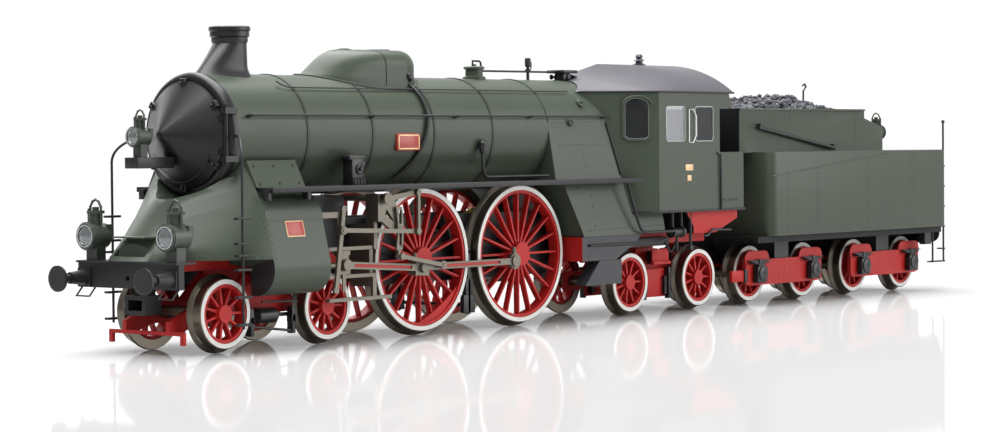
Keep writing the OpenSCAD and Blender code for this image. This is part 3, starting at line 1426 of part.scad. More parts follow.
// Tender
module tender_frame() {
  in_y = 14.6;
  out_y = 16;
  front_x = bunker_x + 0.6;
  tongue_w = 2.4;
  step_y = 15.2;
  color(black) {
    difference() {
      union() {
        box([front_x, rear_beam_x], [-out_y, out_y], [tender_deck, tank_low - 0.03]);
        both() box([front_x, rear_beam_x], [in_y, out_y], [sill_low, tender_deck + 0.1]);
        for (x = tender_pivot_x) {
          box([x - 3, x + 3], [-5, 5], [frame_low - 0.1, tender_deck + 0.1]);
          z_rod(x, 0, [pivot_low, tender_deck], pivot_r);
        }
        box([drawbar_x, front_x + 4], [-tongue_w, tongue_w], [drawbar_z, drawbar_z + drawbar_t]);
        z_rod(drawbar_x, 0, [drawbar_z, drawbar_z + drawbar_t], tongue_w);
        box([front_x, front_x + 4], [-tongue_w, tongue_w], [drawbar_z, tender_deck + 0.1]);
        box([rear_beam_x - beam_t, rear_beam_x], [-beam_half_w, beam_half_w],
          [beam_low - 0.4, tender_deck + 0.1]);
      }
      z_rod(drawbar_x, 0, [0, 30], drawbar_r + run_gap);
      for (y = [-buffer_y, buffer_y])
        x_rod([rear_beam_x - 2, rear_beam_x + 1], y, buffer_z, buffer_stem_r + run_gap);
      x_rod([rear_beam_x - 2, rear_beam_x + 1], 0, buffer_z, hook_hole_r);
    }
    for (y = [-buffer_y, buffer_y])
      translate([rear_beam_x, y, buffer_z]) mirror([1, 0, 0]) sleeve();
  }
}
module tank_plan(inset) {
  r = 2.3;
  hull() for (x = [tank_x + r, tank_end_x - r / 2], y = [-1, 1])
    translate([x, y * (tank_half_w - (x < 0.8 * tank_end_x ? r : r / 2))])
      circle(r = (x < 0.8 * tank_end_x ? r : r / 2) - inset, $fn = 32);
}
module tender_tank() {
  rim = 0.3;
  slope_l = 7.6;
  slope_top = 38.4;
  slope_end = 36.4;
  color(green) {
    translate([0, 0, tank_low]) linear_extrude(tank_top - tank_low) tank_plan(0);
    difference() {
      union() {
        box([bunker_x, bunker_end_x], [-bunker_half_w, bunker_half_w], [tank_top - 0.1, bunker_top]);
        both() box([bunker_x, bunker_end_x], [bunker_half_w - 0.1, bunker_half_w + 0.25],
          [bunker_top - 0.4, bunker_top]);
        side(-bunker_half_w, 2 * bunker_half_w) polygon([
          [bunker_end_x - 0.1, tank_top - 0.1], [bunker_end_x + slope_l, tank_top - 0.1],
          [bunker_end_x + slope_l, slope_end], [bunker_end_x - 0.1, slope_top]
        ]);
      }
      box([bunker_x + bunker_wall, bunker_end_x - bunker_wall],
        [-bunker_half_w + bunker_wall, bunker_half_w - bunker_wall],
        [bunker_top - 5, bunker_top + 1]);
    }
  }
}
// Coal heaped above the bunker rim, with a poker stuck in it
poker = [bunker_x + 36.3, -4];
module coal_load() {
  in_x = [bunker_x + bunker_wall + 0.05, bunker_end_x - bunker_wall - 0.05];
  half = bunker_half_w - bunker_wall - 0.05;
  crest = 42.2;
  lump = 2.3;
  function heap_z(x, y) = crest - max(0, 0.19 * (in_x[0] + 24 - x), 0.4 * (x - in_x[1] + 17),
    0.65 * (abs(y) - half + 6));
  color([0.13, 0.13, 0.14]) difference() {
    union() {
      hull() {
        box(in_x, [-half, half], [bunker_top - 4.98, bunker_top - 3.6]);
        box([in_x[0] + 4, in_x[1] - 3], [-half + 0.5, half - 0.5], [bunker_top - 3.6, bunker_top - 1.2]);
        box([in_x[0] + 24, in_x[1] - 17], [-half + 6, half - 6], [bunker_top, crest]);
      }
      for (i = [0:9], j = [-3:3]) {
        x = in_x[0] + 6 + 3.7 * i + 0.5 * (i * j % 3);
        y = 2.6 * j + 0.7 * (i % 2);
        translate([x, y, heap_z(x, y) - 0.5]) rotate([40 * i, 25 + 30 * j, 50 * i + 20 * j])
          cube([lump, lump, 1.7], center = true);
      }
    }
    z_rod(poker[0], poker[1], [bunker_top - 3, 60], 0.9);
  }
}
module tender_fittings() {
  post = [tank_end_x + 1.9, 15.3];
  rung_z = [9, 14, 18.5, 23, 27.5];
  iron_y = bunker_half_w + 0.5;
  step_x = tank_end_x - 2.9;
  lamp_x = tank_end_x - 1.5;
  color(black) {
    both() {
      z_rod(post[0], post[1], [6.4, 37.6], 0.22);
      translate([post[0], post[1], 37.6]) sphere(r = 0.4);
      for (z = rung_z) box([post[0] - 0.5, post[0] + 0.7], [post[1] - 1.4, post[1] + 0.1], [z, z + 0.3]);
      for (z = [16, 29]) x_rod([tank_end_x - 0.1 + 0.12, post[0]], post[1] - 0.8, z, 0.17);
      z_rod(step_x, post[1], [6.4, sill_low - 0.02], 0.22);
      box([step_x - 0.4, post[0] + 0.3], [post[1] - 1.2, post[1] + 0.3], [6.2, 6.5]);
      box([step_x - 3.4, step_x - 0.6], [post[1] - 1.4, post[1]], [sill_low - 2.6, sill_low - 0.02]);
      wire([bunker_x + 6.2, iron_y, 36.4], [bunker_x + 35.3, iron_y, tank_top + 0.6], 0.4);
      for (p = [[bunker_x + 6.6, 36.2], [bunker_x + 34.6, tank_top + 0.5]])
        box([p[0], p[0] + 0.9], [bunker_half_w + 0.03, iron_y + 0.3], [p[1], p[1] + 1]);
    }
    wire_path([[poker[0], poker[1], bunker_top - 2.78], [poker[0] + 0.2, poker[1], 44.3],
      [poker[0] + 1.2, poker[1], 45.2], [poker[0] + 0.8, poker[1], 45.8], [poker[0], poker[1], 45.5]], 0.2);
  }
  translate([lamp_x, 0, tank_top + 0.02]) mirror([1, 0, 0]) lamp(0.72, 1.1);
}
// Outside-framed tender bogie: riveted plate, axle boxes, springs and a bolster
module tender_bogie(x1, x2, xp) {
  low = carrier_z - 2.4;
  high = carrier_z + 2.8;
  arch_w = 2.7;
  box_r = 1.15;
  color(red) difference() {
    union() {
      both() side(bogie_plate_y, bogie_plate_t) union() {
        polygon([
          [x1 - 4.2, carrier_z - 2], [x1 - 2.6, low], [x2 + 2.6, low], [x2 + 4.2, carrier_z - 2],
          [x2 + 4.2, carrier_z + 1.6], [x2 + 3, high], [x1 - 3, high], [x1 - 4.2, carrier_z + 1.6]
        ]);
        for (x = [x1, x2]) {
          translate([x - arch_w, high]) square([2 * arch_w, 1.8]);
          for (e = [-arch_w, arch_w]) translate([x + e, high + 0.05]) circle(r = 1.75);
        }
      }
      box([xp - 2.6, xp + 2.6], [-bogie_plate_y - 0.1, bogie_plate_y + 0.1],
        [carrier_z + 0.6, frame_low - 0.5]);
    }
    z_rod(xp, 0, [0, 30], pivot_r + run_gap);
    for (x = [x1, x2]) y_rod(x, [-20, 20], carrier_z, 0.8 + run_gap);
  }
  color(black) both() for (x = [x1, x2]) {
    difference() {
      union() {
        y_rod(x, [bogie_plate_y + bogie_plate_t + press_gap, bogie_plate_y + bogie_plate_t + 1.6],
          carrier_z, box_r + 0.35);
        box([x - box_r, x + box_r], [bogie_plate_y + bogie_plate_t + press_gap,
          bogie_plate_y + bogie_plate_t + 1.2], [carrier_z - 1.5, carrier_z + 1.9]);
      }
      y_rod(x, [0, journal_end + 0.1], carrier_z, 0.8 + run_gap);
    }
    side(bogie_plate_y + bogie_plate_t + press_gap, 0.9) polygon([
      [x - 3.9, high - 0.7], [x + 3.9, high - 0.7], [x + 1, carrier_z + 1.95], [x - 1, carrier_z + 1.95]
    ]);
  }
}
module tender_bogie_front() { tender_bogie(tender_x[0], tender_x[1], tender_pivot_x[0]); }
module tender_bogie_rear() { tender_bogie(tender_x[2], tender_x[3], tender_pivot_x[1]); }

main_frame();
buffer_beam();
front_buffer_left();
front_buffer_right();
front_coupler();
smokebox();
smokebox_door();
boiler_barrel();
chimney();
dome_casing();
firebox();
ashpan();
cab_shell();
cab_roof();
cab_glazing();
running_boards();
front_skirt();
cylinder_casings();
motion_brackets();
rails_and_pipes();
boiler_fittings();
headlamps();
motor();
worm_shaft();
lead_bogie_frame();
lead_wheelset_front();
lead_wheelset_rear();
driver_wheelset_front();
driver_wheelset_rear();
coupling_rod_left();
coupling_rod_right();
connecting_rod_left();
connecting_rod_right();
eccentric_rod_left();
eccentric_rod_right();
crosshead_left();
crosshead_right();
combination_lever_left();
combination_lever_right();
expansion_link_left();
expansion_link_right();
radius_rod_left();
radius_rod_right();
reversing_shaft();
trailing_bogie_frame();
trailing_wheelset_front();
trailing_wheelset_rear();
tender_frame();
tender_tank();
coal_load();
tender_fittings();
tender_bogie_front();
tender_bogie_rear();
tender_wheelset_1();
tender_wheelset_2();
tender_wheelset_3();
tender_wheelset_4();
rear_buffer_left();
rear_buffer_right();
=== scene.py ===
"""Looks of a 1:87 streamlined express tender locomotive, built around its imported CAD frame.

Sizes are written in millimetres and turned into metres when a mesh is made. The front points to -X,
the left-hand side of the engine is -Y, and z = 0 is the plane of the wheel flange bottoms.
"""
import logging
import math
import random
from contextlib import contextmanager
from dataclasses import dataclass
from enum import Enum
from typing import Callable, Iterable, Iterator, Optional, Sequence

import bmesh
import bpy
from mathutils import Matrix, Vector
from mathutils.bvhtree import BVHTree

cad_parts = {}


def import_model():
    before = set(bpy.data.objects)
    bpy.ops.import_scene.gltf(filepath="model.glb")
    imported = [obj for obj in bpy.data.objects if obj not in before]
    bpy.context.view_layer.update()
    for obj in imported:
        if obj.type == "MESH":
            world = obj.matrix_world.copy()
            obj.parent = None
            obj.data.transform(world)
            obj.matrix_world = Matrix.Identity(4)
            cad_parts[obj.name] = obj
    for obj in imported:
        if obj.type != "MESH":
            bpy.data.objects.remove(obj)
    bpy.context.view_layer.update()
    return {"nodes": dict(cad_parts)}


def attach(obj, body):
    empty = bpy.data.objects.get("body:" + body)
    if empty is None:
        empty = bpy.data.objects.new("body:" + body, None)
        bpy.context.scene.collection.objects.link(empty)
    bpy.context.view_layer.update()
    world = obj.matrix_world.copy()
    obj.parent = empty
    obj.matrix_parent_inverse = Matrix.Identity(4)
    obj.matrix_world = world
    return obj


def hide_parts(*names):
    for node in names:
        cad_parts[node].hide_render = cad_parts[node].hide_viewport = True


LOG = logging.getLogger("locomotive")

# Metres in a millimetre.
MM = 0.001
# Distance within which the points of a seam are merged, in millimetres.
SEAM = 0.001
# Distance from the middle at which rays start, outside everything, in millimetres.
FAR = 60.0
UP = (0.0, 0.0, 1.0)
WHITE = (1.0, 1.0, 1.0, 1.0)

Pair = tuple[float, float]
Point = tuple[float, float, float] | Vector
Spot = tuple[Vector, Vector]
FaceRule = Callable[[Vector, Vector], Optional["Finish"]]


class Side(Enum):
    """The two sides of the engine, as in the names of its parts."""

    LEFT = "left"
    RIGHT = "right"


class End(Enum):
    """The two ends of the engine or of a bogie, as in the names of their parts."""

    FRONT = "front"
    REAR = "rear"


class Signal:
    """A shader value, with arithmetic that adds math nodes."""

    def __init__(self, tree: bpy.types.NodeTree, socket: bpy.types.NodeSocket) -> None:
        """Wraps a socket of a node tree.

        Args:
            tree: The tree that new nodes go into.
            socket: The output socket that holds the value.
        """
        self.tree = tree
        self.socket = socket

    @classmethod
    def node(
        cls, tree: bpy.types.NodeTree, kind: str, inputs: dict, output: str | int = 0, **settings: str
    ) -> "Signal":
        """Adds any node.

        Args:
            tree: The node tree.
            kind: The node type's name.
            inputs: Values or signals by socket name or number.
            output: The socket that is returned.
            **settings: Attributes of the node.

        Returns:
            The chosen output as a signal.
        """
        made = tree.nodes.new(kind)
        for name, value in settings.items():
            setattr(made, name, value)
        for name, value in inputs.items():
            if isinstance(value, Signal):
                tree.links.new(value.socket, made.inputs[name])
            else:
                made.inputs[name].default_value = value
        return cls(tree, made.outputs[output])

    def ramp(
        self, low: float, high: float, start: float = 0.0, end: float = 1.0, **settings: str
    ) -> "Signal":
        """Maps a range of this value to another range.

        Args:
            low: The value that becomes the start.
            high: The value that becomes the end.
            start: Start of the new range.
            end: End of the new range.
            **settings: Attributes of the node.

        Returns:
            The mapped value.
        """
        inputs = {0: self, 1: low, 2: high, 3: start, 4: end}
        return Signal.node(self.tree, "ShaderNodeMapRange", inputs, 0, **settings)

    def _math(self, operation: str, other: "Signal | float") -> "Signal":
        """Returns the result of a math node on this value and another."""
        return Signal.node(self.tree, "ShaderNodeMath", {0: self, 1: other}, operation=operation)

    def __add__(self, other: "Signal | float") -> "Signal":
        """Adds another value."""
        return self._math("ADD", other)

    def __sub__(self, other: "Signal | float") -> "Signal":
        """Takes another value away."""
        return self._math("SUBTRACT", other)

    def __mul__(self, other: "Signal | float") -> "Signal":
        """Multiplies by another value."""
        return self._math("MULTIPLY", other)

    def __radd__(self, other: float) -> "Signal":
        """Adds this value to a number."""
        return self._math("ADD", other)

    def __rmul__(self, other: float) -> "Signal":
        """Multiplies a number by this value."""
        return self._math("MULTIPLY", other)

    def __rsub__(self, other: float) -> "Signal":
        """Takes this value from a number."""
        return self * -1.0 + other


@dataclass(frozen=True)
class Finish:
    """A surface finish.

    Attributes:
        name: Name of the material.
        slot: The record's material slot; not used.
        color: Linear base colour.
        roughness: Mean roughness.
        metallic: Metalness.
        coat: Weight of a clear coat.
        mottle: How far the colour varies over the surface.
        grain: Height of the fine surface grain, in millimetres.
        alpha: Opacity.
        specular: Strength of the mirror-like part.
    """

    name: str
    slot: str
    color: tuple[float, float, float]
    roughness: float
    metallic: float = 0.0
    coat: float = 0.0
    mottle: float = 0.06
    grain: float = 0.004
    alpha: float = 1.0
    specular: float = 0.35

    def material(self) -> bpy.types.Material:
        """Returns the Blender material, made on first use."""
        found = bpy.data.materials.get(self.name)
        if found:
            return found
        material = bpy.data.materials.new(self.name)
        material.use_nodes = True
        tree = material.node_tree
        shader = tree.nodes["Principled BSDF"]
        place = Signal.node(tree, "ShaderNodeTexCoord", {}, "Object")
        broad = Signal.node(tree, "ShaderNodeTexNoise", {"Vector": place, "Scale": 90.0, "Detail": 3.0}, 0)
        fine = Signal.node(tree, "ShaderNodeTexNoise", {"Vector": place, "Scale": 2600.0, "Detail": 2.0}, 0)
        low = tuple(c * (1 - self.mottle) for c in self.color) + (1.0,)
        high = tuple(min(1.0, c * (1 + self.mottle)) for c in self.color) + (1.0,)
        tint = Signal.node(tree, "ShaderNodeMix", {0: broad, 6: low, 7: high}, 2, data_type="RGBA")
        tree.links.new(tint.socket, shader.inputs["Base Color"])
        share = min(1.0, self.roughness / 0.4) ** 2
        rough = (broad - 0.5) * (0.16 * share) + (fine - 0.5) * (0.1 * share) + self.roughness
        tree.links.new(rough.socket, shader.inputs["Roughness"])
        if self.grain:
            relief = {"Strength": 0.5, "Distance": self.grain * MM, "Height": fine}
            bump = Signal.node(tree, "ShaderNodeBump", relief)
            tree.links.new(bump.socket, shader.inputs["Normal"])
        shader.inputs["Metallic"].default_value = self.metallic
        shader.inputs["Coat Weight"].default_value = self.coat
        shader.inputs["Coat Roughness"].default_value = 0.12
        shader.inputs["Alpha"].default_value = self.alpha
        shader.inputs["Specular IOR Level"].default_value = self.specular
        return material


GREEN = Finish("green_enamel", "green_paint", (0.043, 0.054, 0.039), 0.38, coat=0.03, specular=0.22)
# Near-black green: painted shade on the boiler bands, and the dark joint of the dome casing.
BAND_SHADE_AND_JOINT_GREEN = Finish("band_shade_and_joint_green", "green_paint", (0.012, 0.014, 0.012), 0.45)
# Darker green of the lamps, also put on the firebox rivets as painted shade that shows them as dots.
LAMP_AND_RIVET_SHADE_GREEN = Finish("lamp_and_rivet_shade_green", "green_paint", (0.036, 0.043, 0.034), 0.4, coat=0.1)
BLACK = Finish("black_enamel", "black_paint", (0.011, 0.011, 0.0125), 0.4, coat=0.06)
DOOR_BLACK = Finish("door_black", "black_paint", (0.0075, 0.007, 0.007), 0.36, coat=0.05, specular=0.3)
# A darker, duller black for the tender frame: painted shade under the tender.
SHADED_FRAME_BLACK = Finish("shaded_frame_black", "black_paint", (0.005, 0.005, 0.0055), 0.55, specular=0.2)
GREY = Finish("board_grey", "grey_paint", (0.011, 0.0105, 0.0125), 0.5, coat=0.0)
ROOF = Finish("roof_grey", "grey_paint", (0.043, 0.041, 0.052), 0.4, coat=0.1)
SLATE = Finish("ashpan_grey", "grey_paint", (0.028, 0.028, 0.033), 0.48)
RED = Finish("frame_red", "red_paint", (0.37, 0.013, 0.011), 0.5, specular=0.25)
WHEEL_RED = Finish("wheel_red", "wheel_metal", (0.4, 0.014, 0.012), 0.5, specular=0.25)
TYRE_WHITE = Finish("tyre_face", "wheel_metal", (0.66, 0.65, 0.62), 0.5)
TREAD = Finish("tread_steel", "wheel_metal", (0.16, 0.14, 0.112), 0.3, metallic=0.9)
NICKEL = Finish("rod_nickel", "nickel", (0.14, 0.126, 0.102), 0.42, metallic=0.6)
# Dark red: painted shade of the rivet heads on the tender bogies.
BOGIE_RIVET_SHADE = Finish("bogie_rivet_shade", "red_paint", (0.2, 0.008, 0.008), 0.55)
ROD_RED = Finish("rod_red", "nickel", (0.42, 0.018, 0.016), 0.48)
STEEL = Finish("motor_steel", "motor_metal", (0.4, 0.4, 0.41), 0.4, metallic=0.9)
BRASS = Finish("worm_brass", "brass", (0.55, 0.38, 0.13), 0.32, metallic=0.95)
COAL = Finish("broken_coal", "coal", (0.042, 0.043, 0.053), 0.5, mottle=0.35, grain=0.03)
PANE = Finish("window_pane", "clear", (0.34, 0.345, 0.36), 0.24, alpha=0.5, grain=0.0, specular=0.3)
# Near-opaque dark glass: painted shade of the cab's inside seen through the windows.
SHADED_PANE = Finish("shaded_pane", "clear", (0.02, 0.021, 0.022), 0.25, alpha=0.88, grain=0.0, specular=0.15)
LENS = Finish("lamp_lens", "clear", (0.2, 0.21, 0.215), 0.12, metallic=0.6, coat=0.9, mottle=0.2)
SILVER = Finish("lamp_rim", "nickel", (0.75, 0.76, 0.77), 0.25, metallic=0.9)
WINDOW_EDGE = Finish("window_edge", "nickel", (0.3, 0.31, 0.31), 0.4, metallic=0.7)
FRAME_WHITE = Finish("frame_white", "clear", (0.78, 0.79, 0.79), 0.35, grain=0.0)
PLATE_RED = Finish("plate_red", "red_paint", (0.3, 0.026, 0.016), 0.35, coat=0.2)
PLATE_CREAM = Finish("plate_cream", "brass", (0.62, 0.42, 0.24), 0.4, metallic=0.2)


@dataclass(frozen=True)
class Sheet:
    """Stations, sizes and limits of the paint, in millimetres, that follow the CAD source.

    Attributes:
        lead: Axles of the lead bogie.
        drivers: Driving axles.
        trailing: Axles of the trailing bogie.
        tender: Axles of the tender.
        driver_r: Radius of the drivers' tread.
        driver_z: Height of the driving axles.
        carrier_r: Radius of the small wheels' tread.
        carrier_z: Height of the small wheels' axles.
        tyre_t: Depth below the tread that is painted as tyre.
        tyre_y: Distance outside which a tyre's face is painted.
        pin_y: Distance outside which a wheel pair is bare metal.
        wheel_back_y: Distance of the wheels' backs from the middle.
        coupling_flute_y: Floor of the coupling rods' flutes.
        connecting_flute_y: Floor of the connecting rods' flutes.
        dark_frame_x: Front and rear end of the frame's part by the drivers, painted black as the shade behind
            the wheels.
        frame_top: Height of the frame's top edge.
        bogie_web_y: Outer face of the engine bogies' red webs.
        tender_web_y: Inner and outer face of the tender bogies' red webs.
        boiler_z: Height of the boiler's middle.
        boiler_r: Radius of the boiler.
        board_z: Height of the running boards.
        cab_half_w: Half width of the cab.
    """

    lead: Pair = (-103.35, -79.15)
    drivers: Pair = (-54.65, -27.05)
    trailing: Pair = (6.75, 29.75)
    tender: tuple[float, float, float, float] = (47.85, 68.05, 88.25, 108.45)
    driver_r: float = 12.65
    driver_z: float = 13.35
    carrier_r: float = 5.8
    carrier_z: float = 6.5
    tyre_t: float = 1.03
    tyre_y: float = 9.4
    pin_y: float = 10.12
    wheel_back_y: float = 7.1
    coupling_flute_y: float = 11.05
    connecting_flute_y: float = 12.55
    dark_frame_x: Pair = (-74.0, -14.0)
    frame_top: float = 21.02
    bogie_web_y: float = 5.41
    tender_web_y: Pair = (11.3, 11.81)
    boiler_z: float = 35.4
    boiler_r: float = 10.2
    board_z: float = 26.8
    cab_half_w: float = 16.4


SHEET = Sheet()


def facing(start: Point, end: Point) -> Matrix:
    """Returns the turn that takes one direction to another."""
    return Vector(start).rotation_difference(Vector(end)).to_matrix().to_4x4()


def mount(mesh: bmesh.types.BMesh, name: str, body: str, smooth: float) -> bpy.types.Object:
    """Turns a mesh into an object that rides on a body.

    Args:
        mesh: The mesh in metres, which is freed.
        name: Name of the object.
        body: The CAD body that it moves with.
        smooth: Angle up to which edges are shaded smooth, in degrees.

    Returns:
        The new object.
    """
    for edge in mesh.edges:
        edge.smooth = len(edge.link_faces) == 2 and edge.calc_face_angle(0) < math.radians(smooth)
    for face in mesh.faces:
        face.smooth = True
    data = bpy.data.meshes.new(name)
    mesh.to_mesh(data)
    mesh.free()
    made = bpy.data.objects.new(name, data)
    bpy.context.scene.collection.objects.link(made)
    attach(made, body)
    return made


class Shape:
    """A mesh under construction, in millimetres, with its faces' finishes."""

    def __init__(self) -> None:
        """Starts an empty mesh."""
        self.mesh = bmesh.new()
        self.finishes: list[Finish] = []

    def add(self, part: bmesh.types.BMesh, finish: Finish) -> None:
        """Paints a part and joins it to the mesh.

        Args:
            part: The part in millimetres, which is freed.
            finish: Finish of its faces.
        """
        if finish not in self.finishes:
            self.finishes.append(finish)
        bmesh.ops.recalc_face_normals(part, faces=part.faces)
        for face in part.faces:
            face.material_index = self.finishes.index(finish)
        data = bpy.data.meshes.new("part")
        part.to_mesh(data)
        part.free()
        self.mesh.from_mesh(data)
        bpy.data.meshes.remove(data)

    @contextmanager
    def both_sides(self) -> Iterator[None]:
        """Mirrors to the other side of the engine what a with block adds.

        Returns:
            The context of the block.
        """
        first = len(self.mesh.faces)
        yield
        self.mesh.faces.ensure_lookup_table()
        copy = bmesh.ops.duplicate(self.mesh, geom=self.mesh.faces[first:])["geom"]
        verts = [item for item in copy if isinstance(item, bmesh.types.BMVert)]
        faces = [item for item in copy if isinstance(item, bmesh.types.BMFace)]
        bmesh.ops.scale(self.mesh, vec=(1, -1, 1), verts=verts)
        bmesh.ops.reverse_faces(self.mesh, faces=faces)

    def box(
        self, low: Point, high: Point, finish: Finish, bevel: float = 0.06, turn: Matrix | None = None
    ) -> None:
        """Adds a box with rounded edges.

        Args:
            low: Lowest corner.
            high: Highest corner.
            finish: Finish of its faces.
            bevel: Radius of the edges.
            turn: A placement that is applied last.
        """
        part = bmesh.new()
        size = Vector(high) - Vector(low)
        place = Matrix.Translation(Vector(low) + size / 2) @ Matrix.Diagonal((*size, 1.0))
        bmesh.ops.create_cube(part, size=1.0, matrix=place)
        bmesh.ops.bevel(
            part, geom=part.edges[:], offset=bevel, segments=2, profile=0.5, affect="EDGES", material=-1
        )
        if turn is not None:
            bmesh.ops.transform(part, matrix=turn, verts=part.verts)
        self.add(part, finish)

    def lathe(
        self, profile: Sequence[Pair], origin: Point, axis: Point, finish: Finish, steps: int = 32
    ) -> None:
        """Turns a profile about an axis.

        Args:
            profile: Pairs of radius and distance along the axis.
            origin: Where the axis starts.
            axis: The way the axis points.
            finish: Finish of its faces.
            steps: Segments round the axis.
        """
        part = bmesh.new()
        verts = [part.verts.new((radius, 0.0, along)) for radius, along in profile]
        edges = [part.edges.new(pair) for pair in zip(verts, verts[1:])]
        bmesh.ops.spin(
            part, geom=verts + edges, cent=(0, 0, 0), axis=UP, angle=2 * math.pi, steps=steps, use_merge=True
        )
        bmesh.ops.remove_doubles(part, verts=part.verts, dist=SEAM)
        place = Matrix.Translation(Vector(origin)) @ facing(UP, axis)
        bmesh.ops.transform(part, matrix=place, verts=part.verts)
        self.add(part, finish)

    def wrap(
        self, around: int, along: int, place: Callable[[float, float], Vector], finish: Finish,
        capped: bool = True,
    ) -> None:
        """Bends a grid round into a tube of any section.

        Args:
            around: Segments round the tube.
            along: Segments from end to end.
            place: Turns shares of a round and of the length into a point.
            finish: Finish of its faces.
            capped: Whether the ends are closed.
        """
        part = bmesh.new()
        bmesh.ops.create_grid(part, x_segments=around, y_segments=along, size=0.5)
        for vert in part.verts:
            vert.co = place(vert.co.x + 0.5, vert.co.y + 0.5)
        bmesh.ops.remove_doubles(part, verts=part.verts, dist=SEAM)
        if capped:
            bmesh.ops.holes_fill(part, edges=[edge for edge in part.edges if edge.is_boundary])
        self.add(part, finish)

    def tube(self, points: Sequence[Point], radius: float, finish: Finish, sides: int = 10) -> None:
        """Adds a round wire or pipe along a smooth chain of points.

        Args:
            points: Points that the pipe passes through.
            radius: Radius of the pipe.
            finish: Finish of its faces.
            sides: Segments round the pipe.
        """
        path = [Vector(p) for p in points]
        last = len(path) - 1
        normal = (path[1] - path[0]).orthogonal().normalized()
        frames = []
        for before, here, after in zip([path[0], *path], path, [*path[1:], path[-1]]):
            along = (after - before).normalized()
            normal = (normal - along * normal.dot(along)).normalized()
            frames.append((here, normal, along.cross(normal)))

        def skin(turn: float, share: float) -> Vector:
            """Returns a point of the pipe's skin.

            Args:
                turn: Share of a round.
                share: Share of the length.
            """
            here, right, up = frames[round(share * last)]
            angle = 2 * math.pi * turn
            return here + radius * (right * math.cos(angle) + up * math.sin(angle))

        self.wrap(sides, last, skin, finish)

    def studs(self, places: Iterable[Spot], radius: float, finish: Finish, height: float = 0.55) -> None:
        """Adds round rivet heads.

        Args:
            places: Pairs of a point on a surface and the surface's normal.
            radius: Radius of a head.
            finish: Finish of the heads.
            height: Height of a head as a part of its radius.
        """
        part = bmesh.new()
        for point, normal in places:
            place = Matrix.Translation(point) @ facing(UP, normal) @ Matrix.Diagonal((1.0, 1.0, height, 1.0))
            bmesh.ops.create_uvsphere(part, u_segments=8, v_segments=4, radius=radius, matrix=place)
        self.add(part, finish)

    def ring(
        self, outline: Sequence[Pair], width: float, place: Callable[[float, float, float], Point],
        depth: float, finish: Finish,
    ) -> None:
        """Adds a raised frame along a closed outline.

        Args:
            outline: Points of the inner edge.
            width: Width of the frame outside that edge.
            place: Turns outline coordinates and a height into a point.
            depth: Height of the frame.
            finish: Finish of its faces.
        """
        count = len(outline)
        corners = [Vector(p) for p in outline]
        middle = sum(corners, Vector((0, 0))) / count
        profile = ((0, 0), (0, depth), (width, depth), (width, 0))

        def skin(turn: float, share: float) -> Vector:
            """Returns a point of the frame.

            Args:
                turn: Share of the outline.
                share: Share of the frame's profile.
            """
            number = round(turn * count) % count
            grow, height = profile[round(share * 3)]
            along = corners[(number + 1) % count] - corners[number - 1]
            out = Vector((along.y, -along.x)).normalized()
            if out.dot(corners[number] - middle) < 0:
                out = -out
            edge = corners[number] + out * grow
            return Vector(place(edge.x, edge.y, height))

        self.wrap(count, 3, skin, finish, capped=False)

    def finish(self, name: str, body: str, smooth: float = 40.0) -> bpy.types.Object:
        """Turns the mesh into an object that rides on a body.

        Args:
            name: Name of the object.
            body: The CAD body that it moves with.
            smooth: Angle up to which edges are shaded smooth, in degrees.

        Returns:
            The finished object.
        """
        bmesh.ops.scale(self.mesh, vec=(MM, MM, MM), verts=self.mesh.verts)
        made = mount(self.mesh, name, body, smooth)
        for finish in self.finishes:
            made.data.materials.append(finish.material())
        return made


class Skin:
    """The surface of CAD nodes, to lay rivets and plates on."""

    def __init__(self, nodes: dict[str, bpy.types.Object], *names: str) -> None:
        """Gathers the meshes of some nodes.

        Args:
            nodes: All CAD nodes by name.
            *names: The nodes whose surface is wanted.
        """
        verts, faces = [], []
        for name in names:
            mesh = nodes[name].data
            start = len(verts)
            verts += [v.co / MM for v in mesh.vertices]
            faces += [[start + i for i in p.vertices] for p in mesh.polygons]
        self.tree = BVHTree.FromPolygons(verts, faces)

    def hit(self, origin: Point, direction: Point) -> Spot | None:
        """Finds where a ray meets the surface.

        Args:
            origin: Start of the ray.
            direction: The way it goes.

        Returns:
            The point and the normal that faces the ray, or None.
        """
        place, normal, _, _ = self.tree.ray_cast(Vector(origin), Vector(direction).normalized())
        if place is None:
            return None
        if normal.dot(Vector(direction)) > 0:
            normal = -normal
        return place, normal

    def beside(self, x: float, z: float) -> Spot | None:
        """Returns the surface as it is seen from the side at one place, or None."""
        return self.hit((x, FAR, z), (0, -1, 0))

    def row(self, start: Pair, end: Pair, pitch: float) -> list[Spot]:
        """Lays points along a line that is seen from the side.

        Args:
            start: First point, as x and z.
            end: Last point, as x and z.
            pitch: Distance between points.

        Returns:
            Points with their normals.
        """
        count = max(1, round(math.dist(start, end) / pitch))
        line = [Vector(start).lerp(Vector(end), i / count) for i in range(count + 1)]
        return [spot for spot in (self.beside(*point) for point in line) if spot]


